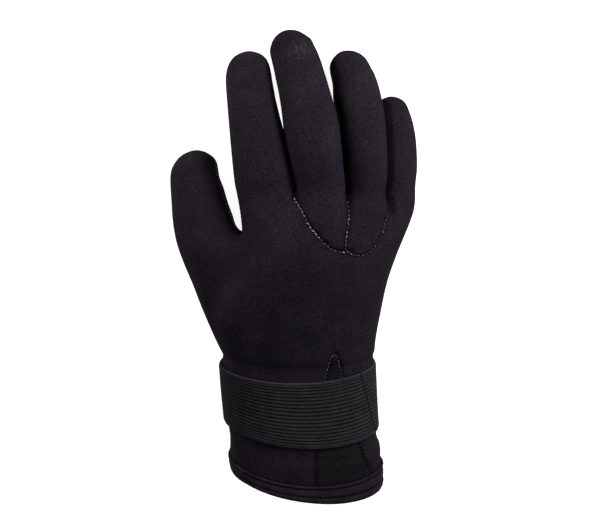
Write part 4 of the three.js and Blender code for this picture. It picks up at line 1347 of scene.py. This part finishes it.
class Nodes:
    """Short names for the nodes of one material."""

    def __init__(self, name):
        self.material = bpy.data.materials.new(name)
        self.material.use_nodes = True
        self.tree = self.material.node_tree
        self.shader = self.tree.nodes["Principled BSDF"]
        self.position = self.node("ShaderNodeTexCoord").outputs["Object"]

    def feed(self, socket, value):
        """Gives a socket a number, a vector, a colour or what another node puts out."""
        if isinstance(value, bpy.types.NodeSocket):
            self.tree.links.new(value, socket)
        elif isinstance(value, tuple) and len(socket.default_value) == 4:
            socket.default_value = (*value, 1)
        else:
            socket.default_value = value

    def node(self, kind, **values):
        """A new node. Names with a capital are its sockets, the others its properties."""
        node = self.tree.nodes.new(kind)
        for name, value in values.items():
            if name[0].isupper():
                self.feed(node.inputs[name], value)
            else:
                setattr(node, name, value)
        return node

    def place(self):
        return self.node("ShaderNodeUVMap", uv_map="place").outputs["UV"]

    def attribute(self, name):
        return self.node("ShaderNodeAttribute", attribute_name=name).outputs["Fac"]

    def axis(self, source, name):
        return self.node("ShaderNodeSeparateXYZ", Vector=source).outputs[name]

    def scaled(self, source, scale):
        return self.node("ShaderNodeMapping", Vector=source, Scale=scale).outputs["Vector"]

    def noise(self, source, scale, detail=3, roughness=0.5, distortion=0):
        return self.node(
            "ShaderNodeTexNoise", Vector=source, Scale=scale, Detail=detail, Roughness=roughness,
            Distortion=distortion,
        ).outputs["Fac"]

    def cells(self, scale):
        return self.node("ShaderNodeTexVoronoi", Vector=self.position, Scale=scale).outputs["Distance"]

    def ramp(self, source, *stops):
        """Colours, or greys given as numbers, over the places of a value."""
        node = self.node("ShaderNodeValToRGB", Fac=source)
        elements = node.color_ramp.elements
        while len(elements) < len(stops):
            elements.new(0.5)
        for element, (place, value) in zip(elements, stops):
            element.position = place
            element.color = (*value, 1) if isinstance(value, tuple) else (value, value, value, 1)
        return node.outputs["Color"]

    def math(self, operation, a, b=0):
        node = self.node("ShaderNodeMath", operation=operation)
        self.feed(node.inputs[0], a)
        self.feed(node.inputs[1], b)
        return node.outputs[0]

    def minus(self, a, b):
        return self.math("SUBTRACT", a, b)

    def times(self, a, b):
        return self.math("MULTIPLY", a, b)

    def away(self, value, place):
        """How far a value is from a place, to either side."""
        return self.math("ABSOLUTE", self.minus(value, place))

    def blend(self, share, a, b, mode="MIX"):
        node = self.node("ShaderNodeMix", data_type="RGBA", blend_type=mode, Factor=share, A=a, B=b)
        return node.outputs["Result"]

    def shade(self, share, colour, factor):
        """The colour times a factor, by a share."""
        return self.blend(share, colour, factor, "MULTIPLY")

    def near(self, place, reach, *stops):
        """A ramp over the distance from a place, as a share of its reach, both in mm."""
        distance = self.node("ShaderNodeVectorMath", operation="DISTANCE")
        self.feed(distance.inputs[0], self.position)
        distance.inputs[1].default_value = (vec(*place) + SHIFT) * MM
        return self.ramp(self.math("DIVIDE", distance.outputs["Value"], reach * MM), *stops)

    def bump(self, height, strength, distance, before=None):
        node = self.node("ShaderNodeBump", Strength=strength, Distance=distance, Height=height)
        if before is not None:
            self.feed(node.inputs["Normal"], before)
        return node.outputs["Normal"]

    def finish(self, colour, normal, roughness, specular=0.01, sheen=0):
        for name, value in (
            ("Base Color", colour), ("Normal", normal), ("Roughness", roughness),
            ("Specular IOR Level", specular), ("Sheen Weight", sheen), ("Sheen Roughness", 0.45),
        ):
            self.feed(self.shader.inputs[name], value)
        return self.material


def jersey(name, dark, light, lint):
    """Knit jersey laminated on neoprene: fine stitches, mottling, lint, painted shade near the seams, above
    the hem's edge and in the gaps between fingers.
    """
    n = Nodes(name)
    position = n.position
    mottle = n.noise(position, 55, 4, 0.6)
    colour = n.ramp(mottle, (0.3, dark), (0.72, light))
    colour = n.blend(n.ramp(n.noise(position, 14), (0.35, 0), (0.7, 0.5)), colour, light)
    grain = n.noise(position, 1050, 2, 0.8)
    colour = n.shade(1, colour, n.ramp(grain, (0.3, 0.28), (0.7, 1.38)))
    specks = n.ramp(n.cells(420), (0, 1), (0.045, 1), (0.075, 0))
    specks = n.shade(1, specks, n.ramp(n.noise(position, 130, 2), (0.56, 0), (0.7, 1)))
    colour = n.blend(specks, colour, lint)
    # Painted shade near the seams and along the hem's top edge
    colour = n.blend(n.times(n.attribute("painted_seam_shade"), SEAM_SHADE), colour, SEAM_SHADE_COLOUR)
    # Painted shade on the flanks in the gaps between fingers
    colour = n.blend(n.times(n.attribute("finger_gap"), GAP_SHADE), colour, GAP_SHADE_COLOUR)
    scratches = n.noise(n.scaled(position, (1, 0.5, 1)), 520)
    scuff = n.near(SCUFF_AT, SCUFF_REACH, (0.4, 1), (1, 0))
    scuff = n.shade(1, scuff, n.ramp(scratches, (0.5, 0), (0.62, 1)))
    colour = n.blend(n.times(scuff, SCUFF_SHARE), colour, lint)
    worn = n.near(WORN_AT, WORN_REACH, (0, 0.6), (1, 0))
    colour = n.blend(worn, colour, n.shade(1, colour, WORN_TINT))
    knit = n.noise(n.scaled(position, (1, 0.55, 1)), 1900, 1)
    normal = n.bump(knit, 0.5, 0.0002)
    normal = n.bump(n.noise(position, 260, 4, 0.62), 0.5, 0.00035, normal)
    creases = n.noise(n.scaled(position, (1, 0.45, 1)), 48, 3, 0.55, 0.4)
    normal = n.bump(creases, 0.35, 0.0012, normal)
    return n.finish(colour, normal, n.math("ADD", n.times(mottle, 0.16), 0.76))


def lining_material():
    """Plain woven nylon inside the glove."""
    n = Nodes("nylon_lining")
    dark, light = LINING_COLOURS
    weave = n.noise(n.position, 900, 2, 0.6)
    colour = n.ramp(weave, (0.35, dark), (0.7, light))
    return n.finish(colour, n.bump(weave, 0.5, 0.0003), 0.8, 0.25, 0.2)


# The painted shade of a crease over the strap's end: a point of it and its direction in plan, its
# half width and the height above which it shows, in mm
CREASE_AT = (38.2, -22)
CREASE_WAY = (0.243, -0.97)
CREASE_WIDTH = 0.8
CREASE_ABOVE = 26
# Painted shade: the strap is darker on the thumb's side, up to this place across, and lightens over this
# width
STRAP_SHADE_TO = -34
STRAP_SHADE_FADE = 34


def elastic_material(width):
    """Ribbed elastic: rubber ribs wound with yarn, a pale top selvage, and painted shade in the furrows,
    along a crease over the strap's end and towards the thumb's side.
    """
    n = Nodes("ribbed_elastic")
    dark, light = ELASTIC_COLOURS
    across = n.axis(n.place(), "Y")
    yarn = n.node(
        "ShaderNodeTexWave", wave_type="BANDS", bands_direction="X", Vector=n.place(), Scale=0.42,
        Distortion=0.8, Detail=1,
    ).outputs["Fac"]
    colour = n.ramp(n.noise(n.position, 160, 4, 0.65), (0.3, dark), (0.75, light))
    colour = n.shade(0.4, colour, n.ramp(yarn, (0.2, 0.5), (0.8, 1)))
    # Painted shade in the furrows between the ribs
    phase = n.math("FRACT", n.math("DIVIDE", n.minus(across, SELVAGE), rib_layout(width)[1]))
    furrow_shade = n.ramp(phase, (0, 0.05), (0.3, 1), (0.6, 1), (1, 0.05))
    on_ribs = n.math("LESS_THAN", n.away(across, width / 2), width / 2 - SELVAGE)
    colour = n.shade(n.times(on_ribs, 0.9), colour, furrow_shade)
    on_edge = n.math("GREATER_THAN", across, width - SELVAGE * 0.35)
    colour = n.blend(on_edge, colour, SELVAGE_COLOUR)
    # Painted shade of a crease over the strap's end, on its upper part
    to_right = n.axis(n.position, "X")
    from_x = n.minus(to_right, (CREASE_AT[0] + SHIFT[0]) * MM)
    from_y = n.minus(n.axis(n.position, "Y"), (CREASE_AT[1] + SHIFT[1]) * MM)
    aside = n.away(n.times(from_x, CREASE_WAY[1]), n.times(from_y, CREASE_WAY[0]))
    crease_shade = n.ramp(n.math("DIVIDE", aside, CREASE_WIDTH * MM), (0, 0.85), (1, 0))
    on_back = n.math("GREATER_THAN", n.axis(n.position, "Z"), CREASE_ABOVE * MM)
    colour = n.blend(n.times(crease_shade, on_back), colour, CREASE_SHADE_COLOUR)
    fuzz = n.noise(n.position, 1500, 2, 0.7)
    colour = n.shade(0.6, colour, n.ramp(fuzz, (0.35, 0.3), (0.66, 1.25)))
    # Painted shade: darker towards the thumb's side
    side = n.math("DIVIDE", n.minus(to_right, STRAP_SHADE_TO * MM), STRAP_SHADE_FADE * MM)
    colour = n.shade(1, colour, n.ramp(side, (0, 0.66), (1, 1)))
    normal = n.bump(yarn, 0.4, 0.00025)
    return n.finish(colour, n.bump(fuzz, 0.5, 0.0002, normal), 0.72)


def binding_material(width):
    """The hem's binding: thin stretch knit with a fine grain along the edge, and painted shade in the
    topstitching's groove and in the dip below the folded edge.
    """
    n = Nodes("hem_binding")
    place = n.place()
    dark, light = BINDING_COLOURS
    across = n.axis(place, "Y")
    colour = n.ramp(n.noise(n.position, 90, 4, 0.6), (0.3, dark), (0.72, light))
    # Painted shade in the topstitching's groove and in the dip below the folded edge
    groove = n.ramp(n.away(across, TOPSTITCH_FROM_EDGE), (0, 0.12), (0.9, 1))
    colour = n.shade(0.9, colour, groove)
    dip_shade = n.ramp(n.away(across, width - HEM_DIP), (0, 0.15), (0.7, 1))
    colour = n.shade(0.8, colour, dip_shade)
    grain = n.noise(n.scaled(place, (0.5, 1.6, 1)), 1.6, 3, 0.65)
    colour = n.shade(0.6, colour, n.ramp(grain, (0.36, 0.45), (0.66, 1)))
    normal = n.bump(grain, 0.4, 0.0003)
    normal = n.bump(n.noise(n.scaled(place, (1, 0.25, 1)), 0.35, 2), 0.4, 0.0012, normal)
    return n.finish(colour, normal, 0.78)


def thread_material():
    """Twisted thread, each stitch as bright as its thread_brightness."""
    n = Nodes("seam_thread")
    colour = n.ramp(n.attribute("thread_brightness"), *THREAD_COLOURS)
    normal = n.bump(n.noise(n.position, 1600, 2, 0.6), 0.6, 0.0002)
    return n.finish(colour, normal, 0.7, 0.05, 0.02)


FLOOR_GLOW = 0.9


def floor_material():
    """A pale sheet lit a little from below, as on a packshot table."""
    n = Nodes("pale_floor")
    grain = n.noise(n.position, 8, 2)
    n.feed(n.shader.inputs["Emission Color"], (1, 1, 1))
    n.feed(n.shader.inputs["Emission Strength"], FLOOR_GLOW)
    colour = n.ramp(grain, (0.3, 0.49), (0.7, 0.51))
    return n.finish(colour, n.bump(grain, 0.02, 0.001), 0.9, 0.1)


# The glove

# The swells fade between these heights above the table, and the cloth keeps this gap to it, in mm
SWELLS_FADE = (4, 9)
TABLE_GAP = 0.02

surface = fine_surface()
SHIFT = shift_to_frame(surface)
whole = np.concatenate([surface.quads[:, [0, 1, 2]], surface.quads[:, [0, 2, 3]]])
plain_normals = point_normals(surface.points, whole)
panels = cut_panels(surface)
seams = seam_edges(panels)
sink, near = sculpt(panels, seams)
swell = folds(panels.points)
off_table = smooth_step(*SWELLS_FADE, panels.points[:, 2])
panels.outer = panels.points + panels.normals * (swell * off_table - sink)[:, None]
panels.outer[:, 2] = np.maximum(panels.outer[:, 2], TABLE_GAP)
panels.outer_normals = point_normals(panels.outer, panels.triangles)
hem_grid = Grid(surface, surface.points, plain_normals, 0, 1)
strap_grid = Grid(surface, surface.points, plain_normals, STRAP_ROW, STRAP_ROW + 1)
paint_gap_shade(panels, surface, hem_grid.points[-1])

neoprene = jersey("neoprene_jersey", *NEOPRENE_COLOURS)
stretch = jersey("stretch_jersey", *GUSSET_COLOURS)
lining = lining_material()
thread_cloth = thread_material()

for panel_name in PANELS:
    is_gusset = panel_name == "cuff_gusset"
    piece = panel_piece(panels, panel_name, near, [stretch if is_gusset else neoprene, lining])
    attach(piece, "root")
    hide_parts(panel_name)

elastic = elastic_material(strap_grid.length())
binding = binding_material(hem_grid.length())
for piece, node, slot in (
    (strap_piece(strap_grid, elastic), "wrist_strap", "elastic"),
    (tab_piece(strap_grid, elastic), "strap_tab", "elastic"),
    (hem_piece(hem_grid, binding), "hem_band", "binding"),
):
    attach(piece, "root")
    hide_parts(node)

random = np.random.default_rng(7)
thread = Thread()
sew_seams(panels, seams, surface.forks, thread, random)
sew_tail(panels, thread)
sew_hem(hem_grid, thread, random)
stitching = thread.piece("seam_stitching", thread_cloth)
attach(stitching, "root")


# The floor, lights and camera

def make_floor():
    mesh = bpy.data.meshes.new("floor")
    size = 6
    corners = [(-size, -size, 0), (size, -size, 0), (size, size, 0), (-size, size, 0)]
    mesh.from_pydata(corners, [], [(0, 1, 2, 3)])
    mesh.materials.append(floor_material())
    floor = bpy.data.objects.new("floor", mesh)
    floor.location = (0, 0, -0.0002)
    bpy.context.collection.objects.link(floor)


def make_light(name, place, size, power, target=(0, 0.05, 0.03)):
    data = bpy.data.lights.new(name, "AREA")
    data.shape = "RECTANGLE"
    data.size, data.size_y = size
    data.energy = power
    light = bpy.data.objects.new(name, data)
    light.location = place
    light.rotation_euler = (Vector(target) - Vector(place)).to_track_quat("-Z", "Y").to_euler()
    light.visible_camera = False
    bpy.context.collection.objects.link(light)


CAMERA_DISTANCE = 0.7
CAMERA_TILT = math.radians(14)
CAMERA_TARGET = vec(0, 52, 30)
MM_PER_PIXEL = 0.575
IMAGE_WIDTH = 600
SENSOR = 36


def make_camera():
    data = bpy.data.cameras.new("camera")
    data.sensor_width = SENSOR
    data.sensor_fit = "HORIZONTAL"
    data.lens = SENSOR * CAMERA_DISTANCE / (IMAGE_WIDTH * MM_PER_PIXEL * MM)
    data.clip_start = 0.01
    camera = bpy.data.objects.new("camera", data)
    target = (CAMERA_TARGET + vec(SHIFT[0], SHIFT[1], 0)) * MM
    back = vec(0, math.sin(CAMERA_TILT), math.cos(CAMERA_TILT)) * CAMERA_DISTANCE
    camera.location = target + back
    camera.rotation_euler = (-CAMERA_TILT, 0, 0)
    bpy.context.collection.objects.link(camera)
    bpy.context.scene.camera = camera


make_floor()
make_light("key", (0.34, 0.32, 0.3), (0.2, 0.2), 6.3)
make_light("fill", (-0.42, 0.32, 0.1), (0.3, 0.12), 4.2)
make_light("overhead", (0.05, -0.2, 0.9), (0.4, 0.4), 3, (0, -0.08, 0.03))
make_camera()

world = bpy.data.worlds.new("studio")
bpy.context.scene.world = world
world.use_nodes = True
world.node_tree.nodes["Background"].inputs["Color"].default_value = (1, 1, 1, 1)
world.node_tree.nodes["Background"].inputs["Strength"].default_value = 0.12
bpy.context.scene.view_settings.view_transform = "Standard"
